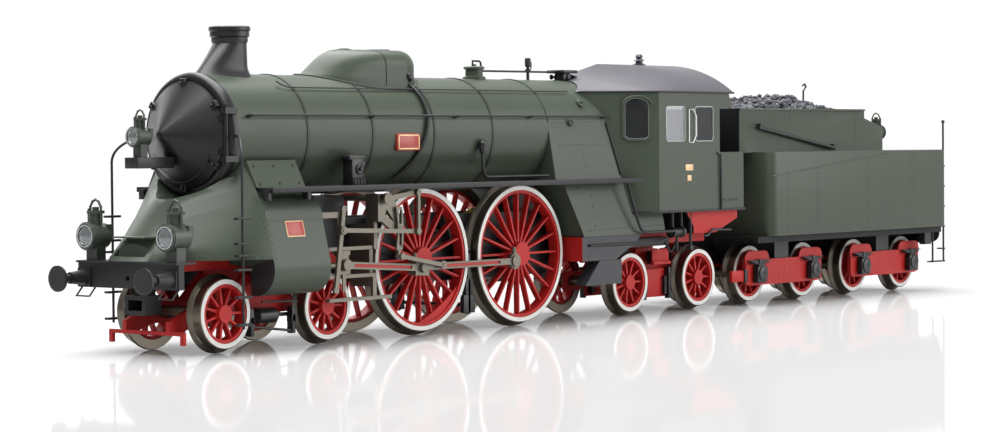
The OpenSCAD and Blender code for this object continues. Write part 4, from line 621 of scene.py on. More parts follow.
@dataclass(frozen=True)
class Softened:
    """A CAD form with rounded edges and smooth shading.

    Attributes:
        node: The CAD node that the form stands for.
        body: The body that it rides on.
        slot: The record's material slot; not used.
        bevel: Radius of its edges, in millimetres.
        smooth: Angle up to which edges are shaded smooth, in degrees.
        sharp: Angle above which edges are rounded, in degrees.
        shortest: Length above which edges are rounded, in millimetres.
    """

    node: str
    body: str
    slot: str
    bevel: float = 0.1
    smooth: float = 40.0
    sharp: float = 55.0
    shortest: float = 0.25

    def build(self, nodes: dict[str, bpy.types.Object]) -> bpy.types.Object:
        """Makes the form from its node's mesh.

        Args:
            nodes: All CAD nodes by name.

        Returns:
            The object that stands for the node.
        """
        mesh = bmesh.new()
        mesh.from_mesh(nodes[self.node].data)
        bmesh.ops.remove_doubles(mesh, verts=mesh.verts, dist=0.002 * MM)
        bmesh.ops.dissolve_limit(mesh, angle_limit=math.radians(1.0), verts=mesh.verts, edges=mesh.edges)
        corners = [
            edge for edge in mesh.edges
            if len(edge.link_faces) == 2 and edge.calc_face_angle(0) > math.radians(self.sharp)
        ]
        bmesh.ops.bevel(
            mesh, geom=[edge for edge in corners if edge.calc_length() > self.shortest * MM],
            offset=self.bevel * MM, segments=2, profile=0.5, affect="EDGES", clamp_overlap=True, material=-1,
        )
        bmesh.ops.triangulate(mesh, faces=mesh.faces)
        bmesh.ops.recalc_face_normals(mesh, faces=mesh.faces)
        made = mount(mesh, f"{self.node}_soft", self.body, self.smooth)
        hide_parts(self.node)
        return made


def where(finish: Finish, test: Callable[[Vector, Vector], bool]) -> FaceRule:
    """Returns a rule that gives one finish to the faces that pass a test."""
    return lambda middle, normal: finish if test(middle, normal) else None


class PaintShop:
    """Gives the listed CAD nodes their finishes, face by face where a node has more than one."""

    def __init__(self, nodes: dict[str, bpy.types.Object]) -> None:
        """Keeps the objects that are seen.

        Args:
            nodes: The objects to paint, by the name of their CAD node.
        """
        self.nodes = nodes

    def paint(self, name: str, base: Finish, rule: FaceRule | None = None) -> None:
        """Paints one node.

        Args:
            name: The node.
            base: Finish of all faces that the rule leaves.
            rule: Finish of a face from its middle, in millimetres, and its normal.
        """
        data = self.nodes[name].data
        data.materials.clear()
        used = [base]
        numbers = []
        for face in data.polygons:
            chosen = (rule(face.center / MM, face.normal) if rule else None) or base
            if chosen not in used:
                used.append(chosen)
            numbers.append(used.index(chosen))
        for finish in used:
            data.materials.append(finish.material())
        data.polygons.foreach_set("material_index", numbers)
        data.update()

    @staticmethod
    def _wheel_rule(x: float, z: float, tread_r: float) -> FaceRule:
        """Returns the rule for a wheel pair.

        Args:
            x: Axle position.
            z: Axle height.
            tread_r: Radius of the tread.
        """

        def rule(middle: Vector, normal: Vector) -> Finish | None:
            """Returns the finish of one face of a wheel pair.

            Args:
                middle: Middle of the face.
                normal: Its normal.
            """
            out = abs(middle.y)
            if out > SHEET.pin_y:
                return NICKEL
            if math.hypot(middle.x - x, middle.z - z) > tread_r - SHEET.tyre_t:
                return TYRE_WHITE if abs(normal.y) > 0.8 and out > SHEET.tyre_y else TREAD
            return TREAD if out < SHEET.wheel_back_y else None

        return rule

    @staticmethod
    def _flute_rule(y: float) -> FaceRule:
        """Returns the rule for a rod with a red flute whose floor lies at a distance y from the middle."""
        return where(ROD_RED, lambda c, n: abs(abs(c.y) - y) < 0.03 and abs(n.y) > 0.9)

    @staticmethod
    def _frame_is_black(middle: Vector, normal: Vector) -> bool:
        """Tells whether a face of the frame is by the drivers, above its top edge or an outrigger's front.

        Args:
            middle: Middle of a face.
            normal: Its normal.

        Returns:
            True for the faces painted black; by the drivers the black is painted shade.
        """
        # By the drivers the red frame is painted black as painted shade behind the wheels.
        front, rear = SHEET.dark_frame_x
        outrigger = middle.x > 15 and middle.z > 15 and normal.x < -0.3
        ledge = middle.z > SHEET.frame_top and middle.x < rear
        return front < middle.x < rear or outrigger or ledge

    @staticmethod
    def _is_band(middle: Vector, normal: Vector) -> bool:
        """Tells whether a face is the outside of a boiler band."""
        raised = math.hypot(middle.y, middle.z - SHEET.boiler_z) > SHEET.boiler_r + 0.03
        return raised and abs(normal.x) < 0.5

    def _wheels(self) -> None:
        """Paints the wheel pairs."""
        small = (SHEET.carrier_z, SHEET.carrier_r)
        pairs = [(f"tender_wheelset_{i + 1}", x, small) for i, x in enumerate(SHEET.tender)]
        for name, stations, size in (
            ("lead", SHEET.lead, small), ("trailing", SHEET.trailing, small),
            ("driver", SHEET.drivers, (SHEET.driver_z, SHEET.driver_r)),
        ):
            pairs += [(f"{name}_wheelset_{end.value}", x, size) for end, x in zip(End, stations)]
        for name, x, size in pairs:
            self.paint(name, WHEEL_RED, self._wheel_rule(x, *size))

    def _motion(self) -> None:
        """Paints the rods, the valve gear and the buffers."""
        flutes = {"coupling_rod": SHEET.coupling_flute_y, "connecting_rod": SHEET.connecting_flute_y}
        for side in Side:
            for name, y in flutes.items():
                self.paint(f"{name}_{side.value}", NICKEL, self._flute_rule(y))
            for name in ("eccentric_rod", "crosshead", "combination_lever", "expansion_link", "radius_rod"):
                self.paint(f"{name}_{side.value}", NICKEL)
            for end in End:
                self.paint(f"{end.value}_buffer_{side.value}", GREY)

    def run(self) -> None:
        """Paints the listed nodes."""
        self._wheels()
        self._motion()
        web = SHEET.bogie_web_y
        inner, outer = SHEET.tender_web_y
        two_tone = {
            "main_frame": (RED, BLACK, self._frame_is_black),
            "lead_bogie_frame": (RED, BLACK, lambda c, n: web < abs(c.y) < 9 and c.x > -100),
            "trailing_bogie_frame": (RED, BLACK, lambda c, n: abs(c.y) > web),
            # The outer faces of the bands are painted near black as painted shade along them.
            "boiler_barrel": (GREEN, BAND_SHADE_AND_JOINT_GREEN, self._is_band),
            # The rear wall, inside the cab.
            "firebox": (GREEN, BLACK, lambda c, n: n.x > 0.9),
            # The lamp on the door.
            "smokebox_door": (DOOR_BLACK, LAMP_AND_RIVET_SHADE_GREEN, lambda c, n: c.x < -109.2 and c.z > 31.25),
            # The inside of the cab.
            "cab_shell": (GREEN, BLACK, lambda c, n: n.y * c.y < -0.3 or (n.x > 0.5 and c.x < 9)),
            # The upper part of its front.
            "ashpan": (SLATE, RED, lambda c, n: n.x < -0.7 and c.z > 11.5),
            # The front side windows, which are lighter; the other panes are near-opaque dark glass, painted
            # shade of the cab's inside.
            "cab_glazing": (SHADED_PANE, PANE, lambda c, n: 8 < c.x < 17.5),
            # The lower part of their fronts.
            "cylinder_casings": (GREEN, BLACK, lambda c, n: n.x < -0.9 and c.z < 15.4),
            # The front end.
            "tender_tank": (GREEN, BLACK, lambda c, n: c.x < 41.5 and n.x < -0.9),
            # The lamp at the rear.
            "tender_fittings": (BLACK, GREEN, lambda c, n: c.x > 111 and abs(c.y) < 3),
        }
        for end in End:
            two_tone[f"tender_bogie_{end.value}"] = (
                RED, BLACK, lambda c, n: abs(c.y) > outer or (abs(c.y) < inner and c.z > 8.5)
            )
        for name, (base, other, test) in two_tone.items():
            self.paint(name, base, where(other, test))
        for name, finish in {
            "motion_brackets": NICKEL, "reversing_shaft": NICKEL, "smokebox": DOOR_BLACK,
            # The tender frame gets the darker black as painted shade under the tank.
            "tender_frame": SHADED_FRAME_BLACK, "front_skirt": GREEN, "front_coupler": GREY, "buffer_beam": GREY,
            "running_boards": GREY, "cab_roof": ROOF, "headlamps": LAMP_AND_RIVET_SHADE_GREEN, "motor": STEEL,
            "worm_shaft": BRASS, "coal_load": COAL,
        }.items():
            self.paint(name, finish)


@dataclass
class Lamps:
    """Lenses, rims and handle bars of the oil lamps.

    Attributes:
        lamps: Body, lens centre, direction and lens radius of each lamp.
        segments: Segments round a lens.
        wire_r: Radius of the handle bars.
    """

    lamps: tuple[tuple[str, Point, int, float], ...] = (
        ("engine", (-115.97, -9.3, 19.17), -1, 2.06), ("engine", (-115.97, 9.3, 19.17), -1, 2.06),
        ("smokebox_door_body", (-114.04, 0.0, 35.18), -1, 1.51), ("tender", (115.93, 0.0, 35.35), 1, 1.51),
    )
    segments: int = 40
    wire_r: float = 0.17

    def build(self) -> list[bpy.types.Object]:
        """Makes a lens, a rim, a bright bead and two handle bars for each lamp.

        Returns:
            The finished pieces.
        """
        turned = (
            (LENS, [(0.86, 0.02), (0.7, 0.2), (0.4, 0.36), (0, 0.42)]),
            (LAMP_AND_RIVET_SHADE_GREEN, [(0.84, 0.0), (0.86, 0.24), (0.95, 0.3), (1.04, 0.2), (1.06, 0.0)]),
            (SILVER, [(0.8, 0.2), (0.82, 0.34), (0.88, 0.34), (0.9, 0.2)]),
        )
        made = []
        for number, (body, centre, way, radius) in enumerate(self.lamps):
            shape = Shape()
            for finish, profile in turned:
                scaled = [(radius * share, depth) for share, depth in profile]
                shape.lathe(scaled, centre, (way, 0, 0), finish, self.segments)
            for across in (-0.72, 0.72):
                bar = [Vector(centre) + radius * Vector((-0.95 * way, across, up)) for up in (0.6, 2.15)]
                shape.tube(bar, self.wire_r, LAMP_AND_RIVET_SHADE_GREEN, 8)
            made.append(shape.finish(f"lamp_lens_{number + 1}", body))
        return made


@dataclass
class DoorFittings:
    """Dogs, handrail and lamp shelf of the smokebox door.

    Attributes:
        angles: Where the dogs sit round the rim, in degrees.
        dog_x: Front and rear of a dog.
        dog_r: Inner and outer end of a dog.
        dog_half: Half width of a dog.
        rail_r: Radius of the handrail.
        cone_x: Position of the door's rim.
        cone_r: Radius of the door's rim.
        cone_rise: How far the cone rises for each millimetre inwards.
        shelf: Lowest and highest corner of the lamp's shelf.
    """

    angles: tuple[float, ...] = (90, 146, 214, 34, 270, 326)
    dog_x: Pair = (-103.15, -102.24)
    dog_r: Pair = (7.95, 9.3)
    dog_half: float = 0.62
    rail_r: float = 7.7
    cone_x: float = -102.75
    cone_r: float = 8.55
    cone_rise: float = 5.4 / 7.55
    shelf: tuple[Point, Point] = ((-114.5, -1.55, 30.1), (-106.4, 1.55, 31.9))

    def build(self) -> list[bpy.types.Object]:
        """Makes the pieces that swing with the door.

        Returns:
            The finished pieces.
        """
        shape = Shape()
        centre = Matrix.Translation((0, 0, SHEET.boiler_z))
        nut = [(0.3, -0.1), (0.3, 0.35), (0.2, 0.45), (0, 0.47)]
        front, rear = self.dog_x
        inner, outer = self.dog_r
        for angle in self.angles:
            turn = centre @ Matrix.Rotation(math.radians(angle - 90), 4, "X")
            shape.box((front, -self.dog_half, inner), (rear, self.dog_half, outer), BLACK, 0.15, turn)
            shape.lathe(nut, turn @ Vector((front + 0.05, 0, inner + 0.55)), (-1, 0, 0), BLACK, 10)
        x = self.cone_x - (self.cone_r - self.rail_r) * self.cone_rise
        rail = []
        for i in range(33):
            a = math.radians(205 + 130 * i / 32)
            rail.append((x - 0.55, self.rail_r * math.cos(a), SHEET.boiler_z + self.rail_r * math.sin(a)))
        shape.tube(rail, 0.12, GREY, 8)
        for i in (2, 16, 30):
            shape.tube([rail[i], (x + 0.3, *rail[i][1:])], 0.2, BLACK, 8)
        shape.box(*self.shelf, BLACK, 0.12)
        return [shape.finish("door_fittings", "smokebox_door_body")]


@dataclass
class Chimney:
    """The chimney with its raked front.

    Attributes:
        x: Middle of the stack.
        top: Height of the rim.
        collar: Height of the rim's moulding.
        height: Height of the raked stack below the moulding.
        stack_r: Radius of the stack.
        rim_r: Radius of the rim.
        nose: How far the foot reaches to the front of the middle.
    """

    x: float = -92.0
    top: float = 53.5
    collar: float = 2.7
    height: float = 6.1
    stack_r: float = 2.85
    rim_r: float = 3.48
    nose: float = 8.45

    def build(self) -> list[bpy.types.Object]:
        """Makes the chimney in place of its CAD node.

        Returns:
            The finished pieces.
        """
        shape = Shape()
        stack, edge, top = self.stack_r, self.rim_r, self.top
        base = top - self.collar
        lip = stack + 0.45
        rim = [
            (0, base), (stack - 0.6, base), (stack - 0.5, top), (edge - 0.2, top), (edge, top - 0.15),
            (edge, top - 0.7), (lip, top - 0.9), (lip, base + 1.0), (stack + 0.2, base + 0.8),
            (stack + 0.2, base + 0.2), (stack, base - 0.2), (0, base - 0.2),
        ]
        shape.lathe(rim, (self.x, 0, 0), UP, BLACK, 64)

        def skin(turn: float, share: float) -> Vector:
            """Returns a point of the raked stack.

            Args:
                turn: Share of a round.
                share: Share of the way down.
            """
            angle = 2 * math.pi * turn
            flare = 1.1 * max(0.0, (share - 0.55) / 0.45) ** 2.2
            radius = stack + 0.12 * share
            front = radius + (self.nose - radius) * share ** 1.06
            reach = front if math.cos(angle) < 0 else radius + flare
            z = base - 0.15 - self.height * share
            return Vector((self.x + math.cos(angle) * reach, math.sin(angle) * (radius + flare), z))

        shape.wrap(64, 16, skin, BLACK)
        made = shape.finish("chimney_stack", "engine")
        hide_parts("chimney")
        return [made]


@dataclass
class Dome:
    """The long dome casing, drop-shaped with a round rear.

    Attributes:
        rear_x: Middle of the round rear.
        half_w: Half width.
        nose: Distance from that middle to the nose at the foot.
        crest: Distance from that middle to where the flat top starts.
        joint: Distance from that middle to the joint of its two halves.
        cap: Distance from that middle to the small cap.
        foot_z: Lower edge, inside the boiler.
        joint_z: Height at which the joint starts.
        rake_z: Height at which the nose starts to lean back.
        shoulder_z: Height at which the sides start to turn in.
        top: Height of the flat top.
        pitch: Distance between the rivets of the flange.
    """

    rear_x: float = -54.75
    half_w: float = 6.2
    nose: float = 21.4
    crest: float = 11.4
    joint: float = 4.9
    cap: float = 9.2
    foot_z: float = 43.2
    joint_z: float = 44.0
    rake_z: float = 45.4
    shoulder_z: float = 47.3
    top: float = 50.2
    pitch: float = 1.1

    def _section(self, z: float) -> Pair:
        """Returns the reach to the nose and the half width at one height.

        Args:
            z: The height.
        """
        rise = min(1.0, max(0.0, (z - self.rake_z) / (self.top - self.rake_z)))
        rake = 2 / math.pi * math.asin(rise ** 0.77)
        bend = self.top - self.shoulder_z
        lean = min(1.0, max(0.0, (z - self.shoulder_z) / bend))
        half = self.half_w - bend * (1.0 - math.sqrt(1.0 - lean * lean))
        return self.nose - (self.nose - self.crest) * rake, half

    def _plan(self, turn: float, z: float, grow: float = 0.0) -> Vector:
        """Returns a point of the casing's outline at one height.

        Args:
            turn: Share of a round, from the rear.
            z: Height of the outline.
            grow: How far outside the casing the point lies.
        """
        reach, half = (size + grow for size in self._section(z))
        along = math.cos(2 * math.pi * turn)
        across = math.sin(2 * math.pi * turn)
        if along > 0:
            return Vector((self.rear_x + half * along, half * across, z))
        taper = math.copysign(abs(across) ** 1.82, across)
        return Vector((self.rear_x - reach * abs(along) ** 0.667, half * taper, z))

    def _flange(self, shape: Shape) -> None:
        """Adds the flange on the boiler and its rivets.

        Args:
            shape: The mesh that they go into.
        """
        foot = []
        for i in range(145):
            place = self._plan(i / 144, self.foot_z, 0.3)
            place.z = SHEET.boiler_z + math.sqrt((SHEET.boiler_r + 0.05) ** 2 - place.y ** 2)
            foot.append(place)
        shape.tube(foot, 0.24, GREEN, 8)
        walked = 0.0
        rivets = []
        for before, after in zip(foot, foot[1:]):
            walked += (after - before).length
            if walked > self.pitch:
                walked -= self.pitch
                normal = Vector((0.0, after.y, after.z - SHEET.boiler_z)).normalized()
                out = Vector((after.x - self.rear_x, after.y, 0.0)).normalized() * 0.4
                rivets.append((after + out - normal * 0.02, normal))
        shape.studs(rivets, 0.15, GREEN)

    def build(self) -> list[bpy.types.Object]:
        """Makes the casing with its flange, joint and lids in place of its CAD node.

        Returns:
            The finished piece.
        """
        shape = Shape()
        height = self.top - self.foot_z
        shape.wrap(
            96, 28,
            lambda turn, share: self._plan(turn, self.foot_z + height * math.sin(share * math.pi / 2)), GREEN,
        )
        self._flange(shape)
        near, far = [], []
        for i in range(21):
            z = self.joint_z + (self.top - self.joint_z) * math.sin(math.pi * i / 40)
            reach, half = self._section(z)
            y = half * (1 - (self.joint / reach) ** 3) ** 0.91 + 0.02
            near.append((self.rear_x - self.joint, -y, z))
            far.insert(0, (self.rear_x - self.joint, y, z))
        shape.tube(near + far, 0.09, BAND_SHADE_AND_JOINT_GREEN, 6)
        cap = [(1.35, -0.2), (1.3, 0.1), (0.5, 0.3), (0, 0.32)]
        shape.lathe(cap, (self.rear_x - self.cap, 0, self.top), UP, GREEN, 32)
        lid = [(1.9, -0.2), (1.9, 0.16), (1.8, 0.24), (0, 0.26)]
        shape.lathe(lid, (self.rear_x, 0, self.top), UP, BLACK, 32)
        made = shape.finish("dome_cover", "engine")
        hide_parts("dome_casing")
        return [made]


@dataclass
class Rails:
    """Handrails, ladder poles and the blower rod.

    Attributes:
        rail_x: Front and rear end of the handrail.
        rail_y: Distance of the handrail from the middle.
        rail_z: Height of the handrail.
        knobs: Positions of the handrail knobs.
        pole: Position of a ladder pole.
        pole_z: Foot of a pole and the height at which it bends.
        bend: How far the bend runs to the rear, inwards and up.
    """

    rail_x: Pair = (-98.25, -0.75)
    rail_y: float = 10.65
    rail_z: float = 38.6
    knobs: tuple[float, ...] = (-97.85, -68.15, -45.85, -24.75, -2.45)
    pole: Pair = (-104.75, 15.2)
    pole_z: Pair = (4.3, 31.0)
    bend: Point = (4.1, 4.95, 4.2)

    def build(self) -> list[bpy.types.Object]:
        """Makes the rails in place of their CAD node.

        Returns:
            The finished pieces.
        """
        shape = Shape()
        ball = [(0, -0.34), (0.24, -0.24), (0.34, 0), (0.24, 0.24), (0, 0.34)]
        rod = [
            (-87.4, 6.15, 44.3), (-86.6, 6.7, 43.7), (-85.4, 7.0, 43.35), (-84.0, 7.02, 43.3),
            (-9.15, 7.02, 43.3),
        ]
        with shape.both_sides():
            shape.tube([(x, self.rail_y, self.rail_z) for x in self.rail_x], 0.2, GREY)
            for x in self.knobs:
                shape.tube([(x, 9.55, 38.4), (x, self.rail_y, self.rail_z)], 0.3, GREY)
                shape.lathe(ball, (x, self.rail_y, self.rail_z), (1, 0, 0), GREY, 12)
            x, y = self.pole
            back, inwards, up = self.bend
            pole = [(x, y, z) for z in self.pole_z]
            for i in range(1, 13):
                a = math.radians(7.5 * i)
                out = 1 - math.cos(a)
                pole.append((x + back * out, y - inwards * out, self.pole_z[1] + up * math.sin(a)))
            shape.tube(pole, 0.22, GREY)
            shape.tube(rod, 0.12, GREY)
        made = shape.finish("rails_and_poles", "engine")
        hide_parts("rails_and_pipes")
        return [made]


@dataclass
class Brakes:
    """Brake gear between the leading wheels and between the driving wheels.

    Attributes:
        lead_x: Front of the hangers on the lead bogie.
        lead_y: Inner and outer face of those hangers.
        x: Middle between the driving axles.
        y: Inner and outer face of a driver's hanger.
        pin_z: Height of that hanger's upper pin.
        beam_z: Height of the beam between the drivers' hangers.
    """

    lead_x: Pair = (-96.5, -86.7)
    lead_y: Pair = (7.4, 8.7)
    x: float = -40.85
    y: Pair = (7.95, 8.9)
    pin_z: float = 14.2
    beam_z: float = 4.6

    def _lead(self) -> bpy.types.Object:
        """Makes the hangers and pull rods that turn with the lead bogie.

        Returns:
            The finished piece.
        """
        shape = Shape()
        inner, outer = self.lead_y
        with shape.both_sides():
            shape.tube([(-96.6, 8.3, 4.0), (-85.9, 8.3, 2.7)], 0.22, BLACK)
            shape.tube([(-94.4, 9.2, 8.0), (-86.2, 9.2, 7.7)], 0.18, BLACK)
            for x in self.lead_x:
                shape.box((x, inner, 2.3), (x + 0.8, outer, 6.9), BLACK, 0.12)
                shape.box((x - 0.1, inner, 4.2), (x + 0.9, outer, 5.6), BLACK, 0.15)
        return shape.finish("lead_bogie_brakes", "lead_bogie_frame_body")

    def build(self) -> list[bpy.types.Object]:
        """Makes the lead bogie's brakes, and the drivers' hangers with the beam between them.

        Returns:
            The finished pieces.
        """
        lead = self._lead()
        shape = Shape()
        inner, outer = self.y
        with shape.both_sides():
            for half, bottom, top in ((0.45, 3.0, self.pin_z + 0.6), (1.0, 6.2, 9.4), (1.6, 3.2, 6.5)):
                shape.box((self.x - half, inner, bottom), (self.x + half, outer, top), BLACK, 0.15)
            shape.tube([(self.x, y, self.pin_z) for y in (5.0, outer)], 0.35, BLACK)
        shape.tube([(self.x, y, self.beam_z) for y in (-inner - 0.2, inner + 0.2)], 0.35, BLACK)
        return [lead, shape.finish("driver_brakes", "engine")]


@dataclass
class Fittings:
    """Safety valve, whistle, turret, clack valves and lubricators.

    Attributes:
        top: Height of the boiler's top line.
        valve_x: Middle of the safety valve.
        whistle_x: Middle of the whistle.
        turret_x: Front and rear of the turret's plate.
        turret_half: Half width of the turret's plate.
        clack_x: Middle of the clack valves.
        feed_y: Distance of the feed pipes from the middle.
        lubricator_x: Front and rear of the lubricators.
        lubricator_y: Inner and outer face of the lubricators.
        lubricator_z: Height of the lubricators below their lids.
    """

    top: float = 45.6
    valve_x: float = -28.35
    whistle_x: float = -12.35
    turret_x: Pair = (-3.95, 0.45)
    turret_half: float = 2.1
    clack_x: float = -39.05
    feed_y: float = 10.7
    lubricator_x: Pair = (-75.85, -72.85)
    lubricator_y: Pair = (10.4, 12.6)
    lubricator_z: float = 31.2

    def _crown(self, shape: Shape) -> None:
        """Adds the fittings along the top line.

        Args:
            shape: The mesh that they go into.
        """
        valve = [
            (0, -0.6), (2.15, -0.6), (2.15, 0.3), (1.65, 0.5), (1.6, 1.7), (1.95, 1.8), (1.95, 2.15),
            (1.7, 2.3), (0.5, 2.35), (0.4, 2.7), (0, 2.75),
        ]
        shape.lathe(valve, (self.valve_x, 0, self.top), UP, GREEN, 40)
        lever = [(-0.4, 2.4), (-0.4, 3.3), (1.5, 3.3), (1.9, 3.1), (2.2, 1.7), (2.6, 1.5)]
        path = [(self.valve_x + x, 0, self.top + z) for x, z in lever]
        front, rear = self.turret_x
        shape.tube(path + [(front + 0.3, 0, self.top + 1.6)], 0.2, BLACK)
        whistle = [
            (0, -0.3), (0.3, -0.3), (0.3, 1.6), (0.55, 1.7), (0.55, 2.0), (0.3, 2.1), (0.3, 2.4), (0.55, 2.6),
            (0.6, 3.9), (0.45, 4.15), (0, 4.2),
        ]
        shape.lathe(whistle, (self.whistle_x, 0, self.top), UP, BLACK, 20)
        crank = [(-1.2, 1.6), (0.6, 1.9), (0.95, 2.2), (1.0, 3.3), (0.5, 3.8)]
        shape.tube([(self.whistle_x + x, 0, self.top + z) for x, z in crank], 0.14, BLACK, 8)
        half = self.turret_half
        shape.box((front, -half, self.top + 1.4), (rear, half, self.top + 2.0), BLACK, 0.12)
        shape.box((front + 1.2, -1.1, self.top - 0.5), (rear - 1.2, 1.1, self.top + 1.5), BLACK, 0.15)
        wheel = [(0, 0), (0.2, 0), (0.2, 0.4), (0.5, 0.45), (0.5, 0.65), (0.15, 0.7), (0, 0.7)]
        with shape.both_sides():
            for x in (front + 0.9, front + 2.3):
                shape.lathe(wheel, (x, 1.05, self.top + 0.7), (0, 1, 0), BLACK, 16)

    def _clack(self, shape: Shape) -> None:
        """Adds a clack valve and its feed pipe.

        Args:
            shape: The mesh that they go into.
        """
        shape.box((self.clack_x - 0.65, 8.2, 32.7), (self.clack_x + 0.65, 11.0, 34.0), BLACK, 0.2)
        body = [
            (0, 0), (0.4, 0), (0.55, 0.2), (0.55, 1.5), (0.7, 1.6), (0.7, 2.0), (0.45, 2.2), (0.3, 2.6),
            (0, 2.65),
        ]
        shape.lathe(body, (self.clack_x, self.feed_y, 31.8), UP, BLACK, 16)
        feed = [(0, 32.0), (0.1, 29.5), (0.25, 28.4), (0.6, 27.85), (1.2, 27.6), (19.3, 27.6)]
        shape.tube([(self.clack_x + x, self.feed_y + 0.02, z) for x, z in feed], 0.28, BLACK)

    def _lubricator(self, shape: Shape) -> None:
        """Adds a lubricator with its ratchet wheel, crank and drip pipes.

        Args:
            shape: The mesh that they go into.
        """
        front, rear = self.lubricator_x
        inner, outer = self.lubricator_y
        top = self.lubricator_z
        shape.box((front, inner, SHEET.board_z), (rear, outer, top), BLACK, 0.15)
        shape.box((front - 0.6, inner, top - 0.1), (rear + 0.6, outer, top + 0.6), BLACK, 0.15)
        wheel = [
            (0, -0.1), (0.95, -0.1), (0.95, 0.25), (0.75, 0.32), (0.7, 0.22), (0.3, 0.22), (0.3, 0.6),
            (0, 0.62),
        ]
        shape.lathe(wheel, (front + 1.85, outer + 0.02, 29.5), (0, 1, 0), BLACK, 20)
        shape.tube([(front + 1.85, outer + 0.4, 29.5), (front + 2.65, outer + 0.45, 30.7)], 0.16, BLACK, 8)
        for i in range(4):
            x = front + 0.35 + 0.75 * i
            drip = [(x, outer - 0.2, 28.0), (x, outer + 0.35, 27.9), (x, outer + 0.45, SHEET.board_z)]
            shape.tube(drip, 0.14, BLACK, 8)

    def build(self) -> list[bpy.types.Object]:
        """Makes the fittings in place of their CAD node.

        Returns:
            The finished piece.
        """
        shape = Shape()
        self._crown(shape)
        with shape.both_sides():
            self._clack(shape)
            self._lubricator(shape)
        made = shape.finish("boiler_valves", "engine")
        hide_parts("boiler_fittings")
        return [made]


@dataclass
class Boiler:
    """Pipes, plugs, rivets and the bare plate on the boiler.

    Attributes:
        skin: Surface of the boiler and its firebox.
        pipe_start: Upper end of the round pipe, as x and degrees above the horizontal.
        pipe_end: Its lower end.
        pipe_bow: How far it bows to the rear half-way.
        plate: Lower front and upper rear corner of the bare plate, as x and z.
        border: Width of the plate's border.
        plugs: Wash-out plugs, as x and degrees above the horizontal.
        rivets: First and last rivet and the pitch of each row.
    """

    skin: Skin
    pipe_start: Pair = (-53.6, 58)
    pipe_end: Pair = (-59.5, -48)
    pipe_bow: float = 2.6
    plate: tuple[Pair, Pair] = ((-61.9, 32.5), (-55.8, 35.5))
    border: float = 0.25
    plugs: tuple[Pair, ...] = ((-7.6, 33), (-12.4, 12))
    rivets: tuple[tuple[Pair, Pair, float], ...] = (
        ((-16.4, 33.2), (-4.0, 33.2), 1.05), ((-13.0, 25.1), (-13.0, 25.1), 1.0),
        ((-11.6, 17.1), (14.6, 17.6), 1.1), ((-9.2, 23.6), (-9.2, 17.9), 1.8),
        ((-9.6, 32.4), (-9.6, 27.9), 1.6), ((-17.4, 37.6), (-4.6, 37.6), 1.05),
    )

    @staticmethod
    def _outwards(degrees: float) -> Vector:
        """Returns the direction out of the boiler at an angle above the horizontal."""
        return Vector((0, math.cos(math.radians(degrees)), math.sin(math.radians(degrees))))

    def _round_pipe(self) -> list[Vector]:
        """Lays a pipe on the boiler.

        Returns:
            Points of the pipe.
        """
        start, end = Vector(self.pipe_start), Vector(self.pipe_end)
        points = []
        for i in range(25):
            x, angle = start.lerp(end, i / 24)
            middle = Vector((x + self.pipe_bow * math.sin(math.pi * i / 24), 0, SHEET.boiler_z))
            points.append(middle + self._outwards(angle) * (SHEET.boiler_r + 0.42))
        return points

    def _bare_plate(self, shape: Shape) -> None:
        """Adds a red plate with a raised border.

        Args:
            shape: The mesh that it goes into.
        """
        (x0, z0), (x1, z1) = self.plate
        y = self.skin.beside((x0 + x1) / 2, (z0 + z1) / 2)[0].y
        low, high = y + 0.3, y + 0.5
        shape.box((x0, y - 0.5, z0), (x1, y + 0.45, z1), PLATE_RED, 0.25)
        for z in (z0 + 0.22, z1 - 0.22 - self.border):
            shape.box((x0 + 0.3, low, z), (x1 - 0.3, high, z + self.border), PLATE_CREAM, 0.05)
        for x in (x0 + 0.3, x1 - 0.3 - self.border):
            shape.box((x, low, z0 + 0.22), (x + self.border, high, z1 - 0.22), PLATE_CREAM, 0.05)

    def build(self) -> list[bpy.types.Object]:
        """Makes the pipes, plates and rivets of both sides.

        Returns:
            The finished pieces.
        """
        shape = Shape()
        union = [(0.8, -0.3), (0.8, 0.5), (0.5, 0.7), (0, 0.75)]
        plug = [(0.85, -0.3), (0.85, 0.45), (0.6, 0.6), (0.35, 0.6), (0.3, 0.9), (0, 0.95)]
        with shape.both_sides():
            shape.tube(self._round_pipe(), 0.33, BLACK)
            shape.lathe(union, (-53.5, 5.9, 45.4), (0.2, 0.8, 0.5), BLACK, 16)
            self._bare_plate(shape)
            for x, angle in self.plugs:
                out = self._outwards(angle)
                shape.lathe(plug, Vector((x, 0, SHEET.boiler_z)) + out * SHEET.boiler_r, out, GREEN, 20)
        heads = Shape()
        with heads.both_sides():
            for start, end, pitch in self.rivets:
                # The heads are a darker green than the firebox: painted shade that makes the rows show as
                # dots.
                heads.studs(self.skin.row(start, end, pitch), 0.2, LAMP_AND_RIVET_SHADE_GREEN, 0.7)
        return [shape.finish("boiler_pipes_and_plates", "engine"), heads.finish("firebox_rivets", "engine")]


